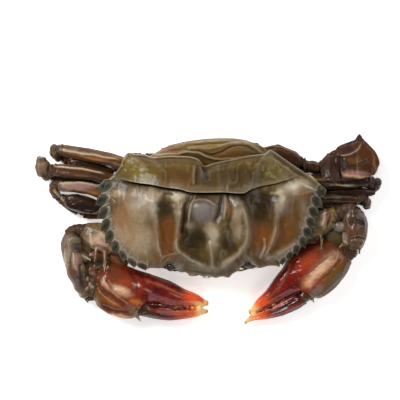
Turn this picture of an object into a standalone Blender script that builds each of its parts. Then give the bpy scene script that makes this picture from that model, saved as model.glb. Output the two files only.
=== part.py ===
"""Soft-shell mud crab, life size, lying on its belly with its limbs folded.

The crab faces -Y, so its right side is on -X.  Each natural part of the body is an object of its own,
and the whole lies on small flats at one level.  Lengths inside the script are in millimetres; a mesh is
turned into metres when it is made.
"""

import math

import bmesh
import bpy
import numpy as np
from mathutils import Vector
from mathutils.geometry import delaunay_2d_cdt

MM = 0.001
GAP = 0.35                 # clear space kept between pieces that touch in life
FLAT_REACH = 0.8           # points this near the floor are laid on it

DOME_TOP = 25.7            # level of the carapace dome, without its folds
SHELL_CENTRE = (1.0, 5.0)  # middle of the dome, seen from above
RIM_SIDE = 14.7            # level of the toothed side margin
RIM_FRONT = 15.4           # level of the front margin
RIM_REAR = 18.6            # level of the rear margin
RIM_THICK = 1.2            # thickness of the shell at its margin
DOME_POWER = 2.6           # how long the dome stays flat before it falls to the margin
UNDER_LEVEL = 12.6         # underside of the carapace over the thorax
TOP_SPACING = 3.7          # spacing of the points that carry the upper surface
UNDER_SPACING = 9.0        # spacing of the points of the plain underside

BELLY_TOP = UNDER_LEVEL - GAP
BELLY_CENTRE_Y = 4.0
BELLY_HALF_WIDTH = 25.0
BELLY_HALF_LENGTH = 19.5
BELLY_POWER = 2.4

TOOTH_COUNT = 9            # teeth on each side margin
TOOTH_REACH = 2.9          # how far a tooth stands out of the margin
TOOTH_LEAN = 0.35          # share of its width by which a tooth leans forward

RIGHT_SIDE_MARGIN = ((-39.4, 19.6), (-41.6, 14.5), (-41.9, 9.0), (-40.6, 2.4), (-38.0, -4.0),
                     (-33.8, -9.6), (-28.6, -13.4), (-23.6, -15.2))
LEFT_SIDE_MARGIN = ((29.6, -13.4), (34.6, -8.8), (38.8, -4.0), (41.6, 1.6), (43.4, 8.0), (45.2, 13.6),
                    (47.2, 15.9))
FRONT_MARGIN = ((-22.4, -15.8), (-18.6, -15.6), (-17.0, -14.0), (-14.4, -12.8), (-12.0, -14.4),
                (-11.2, -17.4), (-6.8, -18.1), (-2.0, -19.0), (3.4, -19.7), (8.6, -19.6), (10.2, -18.2),
                (12.4, -16.6), (13.4, -13.4), (16.0, -11.6), (18.6, -13.2), (20.4, -15.6), (24.6, -15.0),
                (27.6, -15.0), (28.8, -15.6))
REAR_MARGIN = ((43.2, 19.3), (37.2, 23.4), (31.2, 27.4), (25.4, 31.2), (23.0, 29.8), (16.0, 28.9),
               (9.0, 27.4), (3.2, 26.2), (-0.6, 25.0), (-1.8, 25.6), (-3.2, 27.4), (-7.0, 28.6),
               (-14.6, 28.9), (-21.0, 28.4), (-25.0, 29.4), (-28.6, 29.6), (-31.4, 30.2), (-33.4, 28.0),
               (-34.8, 24.4), (-37.4, 21.2))

# The cross fold: behind it the soft shell stands up over the part in front of it.
CROSS_FOLD = ((-37.6, 20.0), (-30.8, 19.3), (-22.8, 18.5), (-16.8, 17.3), (-10.8, 16.5), (-6.8, 15.4),
              (-0.8, 15.2), (6.4, 15.3), (14.0, 14.9), (17.2, 16.4), (21.2, 17.7), (25.2, 18.5),
              (33.2, 20.1), (38.0, 21.6))
FOLD_LIP = 0.45            # width of the steep face of the cross fold
FOLD_RISE = 1.9            # how far the rear part is lifted beside the fold
FOLD_DROP = 0.9            # how far the front part is sunk beside the fold
FOLD_REACH_REAR = 9.0
FOLD_REACH_FRONT = 4.0
SHIELD_RIGHT = ((-7.6, 13.6), (-10.2, 8.6), (-11.4, 3.0), (-12.3, -4.6), (-10.4, -9.6), (-4.0, -13.8),
                (2.4, -17.2))
SHIELD_LEFT = ((9.0, 12.6), (13.0, 10.6), (15.4, 4.0), (16.0, -2.0), (14.2, -7.6), (9.0, -13.2),
               (2.4, -17.2))
SIDE_RIDGE_RIGHT = ((-18.8, 14.6), (-20.8, 9.0), (-20.2, 2.4), (-19.6, -5.0), (-17.8, -12.6))
SIDE_RIDGE_LEFT = ((27.2, 14.6), (27.9, 7.0), (26.8, -1.6), (24.2, -8.6), (22.6, -11.4))
FRONT_RIDGE_LEFT = ((22.8, -10.9), (27.2, -9.2), (32.0, -6.6), (37.0, -3.0))
MID_RIDGE = ((0.6, -4.6), (1.8, -11.0), (2.4, -16.6))
DEEP_CREASE_RIGHT = ((-6.2, 13.8), (-8.6, 8.0), (-8.9, 0.0), (-8.0, -4.0))
DEEP_CREASE_LEFT = ((6.0, 13.8), (5.4, 8.6), (4.4, 4.4), (2.2, 1.4))
REAR_CREASE = ((-3.9, 26.0), (-4.3, 21.0), (-4.2, 16.6))
# Ridges and creases: curve, height, reach.
RIDGES = ((SHIELD_RIGHT, 1.1, 1.6), (SHIELD_LEFT, 1.2, 1.8), (SIDE_RIDGE_RIGHT, 1.0, 1.7),
          (SIDE_RIDGE_LEFT, 1.0, 1.6), (FRONT_RIDGE_LEFT, 0.8, 1.5), (MID_RIDGE, 0.7, 1.5),
          (DEEP_CREASE_RIGHT, -1.5, 1.5), (DEEP_CREASE_LEFT, -1.3, 1.4), (REAR_CREASE, -0.7, 1.4))
# Swellings and hollows: centre, half sizes, height.
SWELLINGS = ((-1.2, 8.0, 6.4, 4.6, 1.7), (-4.4, -5.0, 6.0, 6.2, -1.6), (8.0, -5.5, 6.4, 8.0, 0.9),
             (-30.0, 4.0, 9.5, 13.0, 1.2), (34.0, 5.0, 7.5, 11.0, 0.9), (-15.6, 0.0, 3.8, 12.0, -0.9),
             (21.6, 2.0, 4.6, 11.0, -0.9), (-31.6, 26.0, 4.0, 4.0, 0.8))

# Limb stations: x, y, z, half width, half height.
CLAW_UPPER = {
    "right": ((-25.6, -7.4, 7.8, 3.0, 2.8), (-32.0, -6.6, 8.0, 4.6, 3.7), (-40.0, -4.6, 8.0, 5.9, 4.0),
              (-46.0, -2.1, 7.9, 4.9, 4.1), (-49.4, -0.3, 7.6, 2.9, 3.1)),
    "left": ((25.6, -7.6, 7.8, 3.0, 2.8), (32.0, -4.8, 8.0, 4.4, 3.7), (40.0, -1.0, 8.0, 5.1, 4.0),
             (46.4, 2.6, 7.9, 4.8, 4.1), (51.6, 5.0, 7.8, 3.3, 3.2)),
}
# The wrists hang from the elbows: x, y, z, half width, half height, turn of the section in degrees.
CLAW_WRIST = {
    "right": ((-54.4, -1.7, 6.9, 2.3, 2.8, 4.0), (-54.0, -5.6, 6.6, 4.5, 4.9, 8.0),
              (-53.0, -11.0, 6.4, 5.0, 5.6, 12.0), (-51.6, -17.0, 6.0, 4.2, 5.6, 14.0),
              (-50.2, -22.4, 5.6, 3.4, 5.0, 16.0), (-48.7, -27.2, 5.0, 2.2, 3.4, 17.0)),
    "left": ((58.0, 7.4, 8.6, 3.0, 3.0, 8.0), (59.1, 4.0, 8.2, 4.9, 4.1, 4.0),
             (59.1, -1.0, 7.6, 5.1, 5.0, -6.0), (58.5, -4.8, 6.8, 4.9, 5.3, -22.0),
             (57.5, -7.4, 6.0, 4.1, 4.2, -32.0)),
}
WRIST_HEADING = math.radians(-90.0)
CLAW_ORIGIN = {"right": (-46.0, -22.0), "left": (55.0, -11.0)}
CLAW_HEADING = {"right": math.radians(-10.3), "left": math.radians(212.3)}
# Palm and fingers in the claw's own plane: reach, side offset, level, half width, half height, and for
# some the turn of the section in degrees.
PALM = {
    "right": ((2.0, 0.6, 5.2, 7.4, 4.0, 0.0), (5.0, 0.4, 5.7, 10.3, 5.2, 0.0),
              (12.0, -0.9, 6.0, 10.3, 5.9, 0.0), (18.6, -1.5, 5.9, 9.6, 5.7, 0.0),
              (21.2, 0.4, 5.7, 7.6, 5.2, 0.0), (23.4, 2.0, 5.5, 5.7, 4.9, 0.0),
              (30.0, 1.4, 5.0, 5.2, 4.5, 0.0), (37.0, 0.6, 4.3, 3.7, 3.6, 0.0),
              (43.4, 0.4, 3.6, 2.3, 2.4, 0.0), (47.4, 0.3, 3.0, 0.8, 0.9, 0.0)),
    "left": ((-0.2, 1.3, 5.4, 5.6, 4.0, 4.0), (3.0, 1.5, 5.7, 8.0, 5.0, 0.0),
             (7.2, 0.9, 5.9, 9.2, 5.5, 0.0), (12.4, 0.6, 6.0, 9.8, 5.9, 0.0),
             (17.8, 0.2, 5.9, 9.4, 5.7, 0.0), (21.2, 1.6, 5.7, 6.6, 5.2, 0.0),
             (23.8, 2.3, 5.5, 4.8, 4.9, 0.0), (29.0, 2.0, 5.0, 4.0, 4.4, 0.0),
             (33.6, 1.7, 4.5, 3.1, 3.7, 0.0), (39.4, 1.5, 3.9, 2.1, 2.8, 0.0),
             (44.6, 0.9, 3.2, 0.9, 1.2, 0.0)),
}
FINGER = {
    "right": ((22.9, -7.3, 5.4, 2.3, 3.4), (27.0, -7.3, 5.2, 2.5, 3.6), (33.0, -6.9, 4.7, 2.4, 3.3),
              (39.0, -5.6, 4.1, 2.1, 2.8), (44.0, -4.2, 3.5, 1.6, 2.1), (47.6, -2.9, 3.0, 0.7, 0.9)),
    "left": ((23.0, -6.0, 5.4, 2.3, 3.4), (27.0, -5.7, 5.2, 2.7, 3.6), (33.6, -4.6, 4.7, 2.7, 3.3),
             (39.6, -3.0, 4.1, 2.2, 2.8), (44.6, -1.7, 3.5, 1.2, 2.0), (48.4, -1.7, 2.9, 0.5, 0.8)),
}
LEGS = {
    "leg1_right": {
        "merus": ((-26.6, 6.6, 7.6, 2.2, 2.6), (-36.0, 11.6, 7.8, 2.5, 2.8), (-46.6, 15.7, 7.5, 2.4, 2.7),
                  (-53.0, 16.6, 7.2, 2.3, 2.6), (-59.0, 16.8, 6.8, 2.0, 2.3)),
        "carpus": ((-61.6, 17.8, 6.2, 1.4, 1.7), (-61.6, 15.4, 4.9, 2.0, 2.2), (-60.2, 13.2, 3.4, 1.9, 2.0)),
        "propodus": ((-58.8, 11.7, 2.7, 2.0, 2.1), (-54.8, 10.2, 2.6, 3.1, 2.1), (-51.2, 8.4, 2.5, 3.5, 2.0)),
        "dactyl": ((-49.4, 7.4, 2.4, 3.3, 1.9), (-44.6, 7.0, 2.2, 3.4, 1.7), (-37.0, 8.2, 1.7, 0.8, 0.8)),
    },
    "leg2_right": {
        "merus": ((-24.6, 13.8, 8.0, 2.4, 2.8), (-35.0, 18.3, 8.2, 2.5, 3.0), (-46.0, 21.8, 8.1, 2.5, 3.1),
                  (-54.8, 22.8, 7.8, 2.8, 3.1), (-61.0, 23.2, 7.2, 2.6, 2.8)),
        "carpus": ((-66.6, 28.0, 6.2, 1.8, 2.2), (-66.0, 25.4, 5.7, 3.2, 3.3), (-65.5, 22.6, 4.6, 2.9, 3.1),
                   (-64.0, 20.6, 3.4, 1.8, 2.2)),
        "propodus": ((-61.8, 20.0, 2.5, 1.8, 2.0), (-54.0, 19.7, 2.5, 2.1, 2.1), (-47.0, 19.3, 2.4, 1.8, 1.9)),
        "dactyl": ((-45.8, 19.1, 2.2, 1.6, 1.7), (-40.0, 18.5, 2.0, 1.2, 1.3), (-35.0, 17.5, 1.6, 0.6, 0.7)),
    },
    "leg3_right": {
        "merus": ((-20.6, 18.8, 8.2, 2.4, 2.7), (-30.0, 24.6, 8.5, 2.7, 3.0), (-38.8, 27.6, 8.4, 2.7, 3.1),
                  (-48.0, 29.4, 8.0, 2.8, 3.1), (-58.6, 31.5, 7.3, 2.2, 2.5)),
        "carpus": ((-61.1, 32.6, 6.8, 1.5, 1.9), (-61.3, 30.3, 5.0, 2.0, 2.3), (-59.2, 28.2, 3.1, 1.8, 1.9)),
        "propodus": ((-57.2, 27.5, 2.5, 1.8, 2.0), (-51.0, 26.4, 2.5, 2.3, 2.1), (-45.6, 25.3, 2.4, 2.0, 2.0)),
        "dactyl": ((-44.2, 25.0, 2.3, 1.8, 1.8), (-40.0, 24.2, 2.1, 1.6, 1.5), (-35.4, 23.0, 1.7, 0.7, 0.8)),
    },
    "leg1_left": {
        "merus": ((26.8, 5.2, 3.4, 2.1, 2.1), (34.0, 6.0, 2.2, 2.3, 1.8), (48.0, 6.6, 1.9, 2.3, 1.7),
                  (56.6, 7.4, 1.9, 1.9, 1.6)),
        "carpus": ((59.0, 7.8, 1.9, 1.4, 1.5), (61.0, 6.2, 1.9, 1.6, 1.6), (60.6, 3.6, 1.8, 1.4, 1.4)),
        "propodus": ((59.0, 1.6, 1.8, 1.5, 1.2), (53.0, 0.9, 1.8, 2.2, 1.4), (47.4, 0.7, 1.8, 1.8, 1.4)),
        "dactyl": ((46.0, 0.6, 1.7, 1.5, 1.3), (40.0, 0.2, 1.6, 1.2, 1.1), (34.0, -1.0, 1.4, 0.6, 0.6)),
    },
    "leg2_left": {
        "merus": ((27.2, 11.2, 8.0, 2.2, 2.7), (38.0, 11.9, 8.2, 2.4, 2.9), (50.0, 12.0, 8.2, 2.4, 2.9),
                  (60.0, 11.3, 7.8, 2.0, 2.5)),
        "carpus": ((62.7, 12.2, 6.9, 1.4, 1.8), (64.2, 10.4, 5.2, 2.0, 2.3), (63.8, 8.8, 3.2, 1.5, 1.7)),
        "propodus": ((61.4, 10.9, 2.4, 1.6, 1.9), (54.0, 11.0, 2.4, 1.7, 2.0), (46.6, 10.9, 2.3, 1.5, 1.8)),
        "dactyl": ((45.2, 10.8, 2.2, 1.3, 1.6), (39.0, 10.4, 1.9, 1.1, 1.3), (33.6, 9.4, 1.6, 0.6, 0.7)),
    },
    "leg3_left": {
        "merus": ((23.4, 17.4, 8.0, 2.4, 2.7), (34.0, 18.2, 8.2, 2.7, 2.9), (46.0, 18.2, 8.2, 2.8, 3.0),
                  (58.0, 18.4, 8.0, 2.7, 2.9), (65.4, 19.2, 7.6, 2.1, 2.4)),
        "carpus": ((68.4, 18.9, 6.8, 1.4, 1.9), (67.7, 16.8, 5.0, 2.0, 2.2), (65.8, 15.4, 3.2, 1.7, 1.9)),
        "propodus": ((63.8, 15.2, 2.5, 1.7, 2.0), (56.0, 15.3, 2.5, 2.0, 2.1), (48.4, 15.4, 2.4, 1.8, 1.9)),
        "dactyl": ((47.0, 15.4, 2.3, 1.6, 1.7), (40.0, 15.6, 2.0, 1.2, 1.4), (34.0, 16.0, 1.6, 0.6, 0.7)),
    },
    "swim_right": {
        "merus": ((-12.6, 26.0, 7.6, 2.0, 2.2), (-18.0, 27.6, 7.0, 2.2, 2.4), (-24.4, 28.2, 5.9, 1.8, 2.1)),
        "carpus": ((-26.6, 28.5, 5.2, 1.5, 1.8), (-29.4, 28.6, 4.1, 1.7, 1.8), (-31.6, 27.6, 3.1, 1.4, 1.5)),
        "propodus": ((-32.4, 25.9, 2.6, 1.8, 1.4), (-32.0, 22.4, 2.3, 2.4, 1.4), (-30.8, 19.4, 2.0, 1.9, 1.2)),
    },
    "swim_left": {
        "merus": ((14.0, 25.6, 8.0, 2.2, 2.4), (20.6, 28.4, 8.2, 3.3, 3.1), (28.2, 29.2, 8.4, 4.5, 3.4),
                  (34.6, 27.4, 8.6, 3.5, 3.1), (37.8, 25.8, 8.8, 2.2, 2.3)),
        "carpus": ((39.6, 25.2, 9.0, 1.8, 2.0), (42.4, 24.7, 9.3, 2.4, 2.4), (44.8, 24.3, 9.8, 1.9, 2.1)),
    },
}
PADDLE_OUTLINE = {
    "left": ((54.6, 19.6), (60.6, 20.0), (66.8, 21.2), (68.6, 24.4), (69.1, 26.8), (67.6, 30.6),
             (64.8, 33.6), (62.6, 36.0), (61.2, 37.9), (59.4, 35.6), (57.2, 34.6), (53.6, 33.4),
             (51.4, 31.4), (52.6, 27.6), (53.4, 23.6)),
    "right": ((-31.6, 17.6), (-27.8, 17.8), (-24.4, 14.6), (-23.4, 10.4), (-24.6, 6.4), (-27.4, 4.8),
              (-30.4, 6.6), (-32.4, 10.6), (-32.6, 14.8)),
}
FAN_OUTLINE = ((45.8, 26.6), (45.6, 22.4), (47.0, 19.2), (50.8, 18.4), (53.2, 18.8), (52.4, 22.6),
               (51.9, 27.2), (50.7, 30.6), (48.4, 29.6), (46.6, 28.4))
SWIM_TILT = 0.53           # fall of the left swimming blade towards its tip
SWIM_LEVEL = 12.9          # its level where it leans on the leg in front
SWIM_LEAN_Y = 19.6

EYES = {"right": (-14.4, -15.4, 14.7), "left": (16.0, -14.0, 14.9)}
EYE_HALF_SIZE = (2.15, 2.0, 1.85)
ANTENNA_RADIUS = 0.42
ANTENNA_PATH = ((9.6, -16.0, 12.4), (13.0, -16.9, 12.0), (17.6, -15.6, 11.4), (22.6, -13.2, 10.4))

REAR_FALL = ((24.8, 12.9), (28.2, 15.2), (31.2, 16.2), (33.7, 14.9), (34.7, 11.4), (33.2, 6.6), (29.6, 3.6))
REAR_HALF_WIDTHS = (12.0, 20.0, 24.2, 22.6, 17.0, 11.4, 10.0)
REAR_SWEEP = (0.08, -0.0068)     # how the plates shift backwards across the body
REAR_DROOP = 0.0055
REAR_THICK = 1.5
APRON_OUTLINE = ((-10.6, 28.6), (-11.4, 22.0), (-9.4, 16.0), (-6.4, 10.0), (-4.4, 5.4), (4.4, 5.4),
                 (6.4, 10.0), (9.4, 16.0), (11.4, 22.0), (10.6, 28.6))
TELSON_OUTLINE = ((-4.1, 4.9), (-3.6, 1.6), (-1.6, -1.2), (0.0, -1.9), (1.6, -1.2), (3.6, 1.6), (4.1, 4.9))
APRON_THICK = 1.7
APRON_BEVEL = 0.4
GROOVE_SPARE = 2.0               # how far the groove's cutter runs past the belly

# Spines: owner, base, tip, radius at the base.
SPINES = (("claw_right_wrist", (-48.7, -27.4, 5.4), (-47.5, -30.6, 5.2), 1.1),
          ("claw_right_wrist", (-49.4, -9.6, 9.4), (-46.4, -12.6, 11.6), 1.0),
          ("claw_right_arm", (-44.0, -6.0, 9.6), (-45.0, -13.6, 12.9), 1.1),
          ("claw_right_arm", (-40.6, -8.0, 9.6), (-41.2, -16.4, 13.4), 1.2),
          ("claw_right_palm", (-28.8, -34.4, 6.2), (-26.3, -37.9, 6.0), 1.5),
          ("claw_right_palm", (-28.6, -30.6, 9.8), (-26.2, -31.6, 13.0), 1.0),
          ("claw_left_palm", (41.4, -27.4, 6.6), (43.2, -30.2, 6.0), 1.4),
          ("claw_left_arm", (45.6, -0.4, 9.8), (45.6, -7.8, 12.8), 1.2),
          ("claw_left_wrist", (56.6, -4.6, 10.4), (52.6, -8.4, 13.0), 1.0),
          ("claw_left_wrist", (60.6, -7.4, 9.0), (61.2, -10.6, 9.8), 1.1))

SPINE_TIP = 0.18                 # radius of a spine's blunt tip

# Base colour, roughness.
SHELL = ((0.125, 0.094, 0.052), 0.32)
BELLY = ((0.46, 0.37, 0.26), 0.42)
TERGITE = ((0.26, 0.15, 0.045), 0.34)
LEG = ((0.105, 0.062, 0.03), 0.34)
BLADE = ((0.135, 0.05, 0.02), 0.34)
WRIST = ((0.15, 0.09, 0.06), 0.34)
PALM_RED = ((0.23, 0.035, 0.012), 0.28)
FINGER_RED = ((0.2, 0.018, 0.012), 0.28)
EYE = ((0.2, 0.19, 0.22), 0.15)
WHISKER = ((0.22, 0.13, 0.06), 0.45)


# ---------------------------------------------------------------- scene and objects

def clear_scene():
    """Remove what the start-up file holds."""
    for obj in list(bpy.data.objects):
        bpy.data.objects.remove(obj, do_unlink=True)


def new_collection(name):
    """Add a collection to the scene."""
    collection = bpy.data.collections.new(name)
    bpy.context.scene.collection.children.link(collection)
    return collection


def finish_material(name, look):
    """Make a part's own Principled material."""
    colour, roughness = look
    material = bpy.data.materials.new(name + "_finish")
    material.use_nodes = True
    shader = material.node_tree.nodes["Principled BSDF"]
    shader.inputs["Base Color"].default_value = (*colour, 1.0)
    shader.inputs["Roughness"].default_value = roughness
    shader.inputs["Metallic"].default_value = 0.0
    return material


def add_part(name, bm, look, smooth_angle=50.0):
    """Turn a bmesh in millimetres into a named object in metres."""
    bmesh.ops.recalc_face_normals(bm, faces=bm.faces)
    bmesh.ops.scale(bm, vec=(MM, MM, MM), verts=bm.verts)
    mesh = bpy.data.meshes.new(name)
    bm.to_mesh(mesh)
    bm.free()
    mesh.shade_smooth()
    mesh.set_sharp_from_angle(angle=math.radians(smooth_angle))
    mesh.materials.append(finish_material(name, look))
    obj = bpy.data.objects.new(name, mesh)
    PARTS.objects.link(obj)
    return obj


def add_tool(name, bm):
    """Make an object that only cuts or joins others, and keep it out of the parts."""
    tool = add_part(name, bm, BELLY)
    PARTS.objects.unlink(tool)
    TOOLS.objects.link(tool)
    tool.hide_render = True
    tool.display_type = "WIRE"
    return tool


def lay_on_floor(bm):
    """Lay the points at or below floor level on the floor, which leaves a small flat."""
    for vert in bm.verts:
        if vert.co.z < FLAT_REACH:
            vert.co.z = 0.0


def combine(obj, tool, operation):
    """Join a tool object to a part, or cut it out, with an exact Boolean."""
    modifier = obj.modifiers.new(tool.name, "BOOLEAN")
    modifier.operation = operation
    modifier.solver = "EXACT"
    modifier.object = tool


# ---------------------------------------------------------------- curves and lofts

def smooth_rows(rows, steps):
    """Read a Catmull-Rom curve through rows of numbers, with steps readings for each span."""
    rows = np.array(rows, float)
    ends = np.vstack([2 * rows[0] - rows[1], rows, 2 * rows[-1] - rows[-2]])
    readings = []
    for span in range(len(rows) - 1):
        before, start, end, after = ends[span:span + 4]
        for step in range(steps):
            t = step / steps
            readings.append(start + 0.5 * t * (end - before + t * (2 * before - 5 * start + 4 * end - after
                                               + t * (3 * (start - end) + after - before))))
    readings.append(rows[-1])
    return np.array(readings)


def section(centre, along, across, half_width, half_height, sides, power):
    """Give the points of one rounded cross-section of a limb."""
    up = along.cross(across).normalized()
    reach = math.cos(math.pi / sides) ** (2 / power)
    points = []
    for side in range(sides):
        angle = 2 * math.pi * (side + 0.5) / sides
        x = math.copysign(abs(math.cos(angle)) ** (2 / power), math.cos(angle))
        y = math.copysign(abs(math.sin(angle)) ** (2 / power), math.sin(angle))
        points.append(centre + across * (half_width * x / reach) + up * (half_height * y / reach))
    return points


def loft(stations, sides=8, steps=2, power=2.3, heading=None, across=None, cap=0.3):
    """Skin a limb through its stations and round off both ends; the axis may keep one heading."""
    rows = smooth_rows(stations, steps)
    centres = [Vector(row[:3]) for row in rows]
    last = len(rows) - 1
    bm = bmesh.new()
    rings = []
    for index, row in enumerate(rows):
        along = centres[min(index + 1, last)] - centres[max(index - 1, 0)]
        if heading is not None:
            turned = heading + math.radians(row[5])
            along = Vector((math.cos(turned), math.sin(turned), 0.0))
        along.normalize()
        side_way = Vector(across) if across else Vector((-along.y, along.x, 0.0)).normalized()
        width, height = max(row[3], 0.3), max(row[4], 0.3)
        if index == 0:
            start = centres[0] - along * cap * min(width, height)
            rings.append(section(start, along, side_way, 0.62 * width, 0.62 * height, sides, power))
        rings.append(section(centres[index], along, side_way, width, height, sides, power))
        if index == last:
            end = centres[last] + along * cap * min(width, height)
            rings.append(section(end, along, side_way, 0.62 * width, 0.62 * height, sides, power))
    rings = [[bm.verts.new(point) for point in ring] for ring in rings]
    for one, other in zip(rings, rings[1:]):
        for side in range(sides):
            after = (side + 1) % sides
            bm.faces.new((one[side], one[after], other[after], other[side]))
    for ring in (rings[0], rings[-1]):
        bm.faces.new(ring)
    lay_on_floor(bm)
    return bm


def plate(outline, level, half_thickness, rounds=4, rim=0.28, points_per_span=2):
    """Make a lens-shaped plate: rings that shrink to the middle, thick inside and thin at the rim."""
    closed = list(outline) + [outline[0]]
    edge = smooth_rows([outline[-1]] + closed + [outline[1]], points_per_span)
    edge = edge[points_per_span:-points_per_span - 1]
    middle = edge.mean(axis=0)
    bm = bmesh.new()
    rims = {}
    for hand in (1, -1):
        rings = []
        for turn in range(rounds):
            share = 1.0 - turn / rounds
            thick = rim + (half_thickness - rim) * math.sqrt(1.0 - share ** 2)
            ring = []
            for x, y in middle + (edge - middle) * share:
                ring.append(bm.verts.new((x, y, level(x, y) + hand * thick)))
            rings.append(ring)
        top = bm.verts.new((*middle, level(*middle) + hand * half_thickness))
        for one, other in zip(rings, rings[1:]):
            for index in range(len(one)):
                after = (index + 1) % len(one)
                bm.faces.new((one[index], one[after], other[after], other[index]))
        inner = rings[-1]
        for index in range(len(inner)):
            bm.faces.new((inner[index], inner[(index + 1) % len(inner)], top))
        rims[hand] = rings[0]
    for index in range(len(edge)):
        after = (index + 1) % len(edge)
        bm.faces.new((rims[1][index], rims[1][after], rims[-1][after], rims[-1][index]))
    lay_on_floor(bm)
    return bm


def prism(outline, low, high):
    """Make an upright prism on an outline."""
    bm = bmesh.new()
    rings = [[bm.verts.new((x, y, level)) for x, y in outline] for level in (low, high)]
    for ring in rings:
        bm.faces.new(ring)
    for index in range(len(outline)):
        after = (index + 1) % len(outline)
        bm.faces.new((rings[0][index], rings[0][after], rings[1][after], rings[1][index]))
    return bm


# ---------------------------------------------------------------- carapace

def side_teeth(margin, forward_is_last):
    """Set a row of leaning teeth on a side margin."""
    line = smooth_rows(margin, 12)
    lengths = np.concatenate([[0.0], np.cumsum(np.hypot(*np.diff(line, axis=0).T))])
    points = []
    shares = np.linspace(0.0, 1.0, TOOTH_COUNT + 1) ** (0.9 if forward_is_last else 1.11)
    for start, end in zip(shares, shares[1:]):
        lean = 0.5 + TOOTH_LEAN * (0.5 if forward_is_last else -0.5)
        for share, reach in ((0.0, 0.0), (lean - 0.24, 0.62), (lean, 1.0), (lean + 0.22, 0.55)):
            where = (start + (end - start) * share) * lengths[-1]
            x, y = (np.interp(where, lengths, line[:, axis]) for axis in (0, 1))
            ahead = min(where + 0.5, lengths[-1])
            back = ahead - 1.0
            way = [np.interp(ahead, lengths, line[:, k]) - np.interp(back, lengths, line[:, k])
                   for k in (0, 1)]
            size = math.hypot(*way)
            outward = (way[1] / size, -way[0] / size)
            reach_out = reach * TOOTH_REACH * min(1.0, 2.2 * (end - start) * TOOTH_COUNT / 2.4)
            points.append((x + outward[0] * reach_out, y + outward[1] * reach_out))
    return points


def carapace_outline():
    """Give the whole margin of the carapace, seen from above, counter-clockwise."""
    points = side_teeth(RIGHT_SIDE_MARGIN, True)
    points += list(FRONT_MARGIN)
    points += side_teeth(LEFT_SIDE_MARGIN, False)
    points.append(LEFT_SIDE_MARGIN[-1])
    points += list(REAR_MARGIN)
    return np.array(points)


def edge_share(points, outline):
    """Say how far each point lies from the middle of the dome towards the margin, from 0 to 1."""
    centre = np.array(SHELL_CENTRE)
    rel = outline - centre
    bearings = np.arctan2(rel[:, 1], rel[:, 0])
    order = np.argsort(bearings)
    reach = np.hypot(rel[:, 0], rel[:, 1])[order]
    bearings = bearings[order]
    away = points - centre
    bearing = np.arctan2(away[:, 1], away[:, 0])
    limit = np.interp(bearing, bearings, reach, period=2 * math.pi)
    return np.clip(np.hypot(away[:, 0], away[:, 1]) / limit, 0.0, 1.0)


def curve_offsets(points, curve):
    """Give each point's distance from a curve, its side of it and its place along it."""
    line = smooth_rows(curve, 4)
    best = np.full(len(points), 1e9)
    side = np.zeros(len(points))
    place = np.zeros(len(points))
    for index, (start, end) in enumerate(zip(line, line[1:])):
        step = end - start
        rel = points - start
        t = np.clip((rel @ step) / (step @ step), 0.0, 1.0)
        off = rel - t[:, None] * step
        distance = np.hypot(off[:, 0], off[:, 1])
        near = distance < best
        best[near] = distance[near]
        side[near] = np.sign(step[0] * rel[near, 1] - step[1] * rel[near, 0])
        place[near] = (index + t[near]) / (len(line) - 1)
    return best, side, place


def fade_ends(place):
    """Let a fold die out towards both of its ends."""
    return np.clip(np.minimum(place, 1.0 - place) * 7.0, 0.0, 1.0)


def rim_level(points):
    """Give the level of the margin under each point: higher behind, lowest at the sides."""
    rear = 1.0 / (1.0 + np.exp(-(points[:, 1] - 23.0) / 2.2))
    front = 1.0 / (1.0 + np.exp((points[:, 1] + 12.0) / 2.0))
    inner = np.clip(1.0 - (np.abs(points[:, 0]) / 44.0) ** 3, 0.0, 1.0)
    return RIM_SIDE + (RIM_REAR - RIM_SIDE) * rear * inner + (RIM_FRONT - RIM_SIDE) * front * inner


def shell_height(points, outline):
    """Give the upper surface of the carapace: a low dome with the folds of a soft shell."""
    share = edge_share(points, outline)
    dome = 1.0 - share ** DOME_POWER
    level = rim_level(points)
    height = level + (DOME_TOP - level) * dome
    inside = np.clip((1.0 - share) * 6.0, 0.0, 1.0)
    for curve, rise, reach in RIDGES:
        distance, _, place = curve_offsets(points, curve)
        height += rise * inside * fade_ends(place) * np.exp(-(distance / reach) ** 2)
    for x, y, size_x, size_y, rise in SWELLINGS:
        bump = np.exp(-((points[:, 0] - x) / size_x) ** 2 - ((points[:, 1] - y) / size_y) ** 2)
        height += rise * bump * np.clip((1.0 - share) * 4.0, 0.25, 1.0)
    distance, side, place = curve_offsets(points, CROSS_FOLD)
    fade = fade_ends(place) * inside
    rear = FOLD_RISE * np.exp(-(distance / FOLD_REACH_REAR) ** 2)
    front = -FOLD_DROP * np.exp(-(distance / FOLD_REACH_FRONT) ** 2)
    height += np.where(side > 0, rear, front) * fade
    return height


def shell_under(points, outline):
    """Give the underside of the carapace: a level roof over the body that rises to the margin."""
    share = edge_share(points, outline)
    rise = np.clip((share - 0.72) / 0.28, 0.0, 1.0) ** 1.3
    return UNDER_LEVEL + (rim_level(points) - RIM_THICK - UNDER_LEVEL) * rise


def inside_outline(points, outline, clear):
    """Tell which points lie within a closed outline and well clear of it."""
    inside = np.zeros(len(points), bool)
    nearest = np.full(len(points), 1e9)
    for start, end in zip(outline, np.roll(outline, -1, axis=0)):
        step = end - start
        rel = points - start
        t = np.clip((rel @ step) / (step @ step), 0.0, 1.0)
        off = rel - t[:, None] * step
        nearest = np.minimum(nearest, np.hypot(off[:, 0], off[:, 1]))
        crosses = (start[1] > points[:, 1]) != (end[1] > points[:, 1])
        rise = end[1] - start[1] if end[1] != start[1] else 1.0
        inside ^= crosses & (points[:, 0] < start[0] + (points[:, 1] - start[1]) * step[0] / rise)
    return inside & (nearest > clear)


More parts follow.
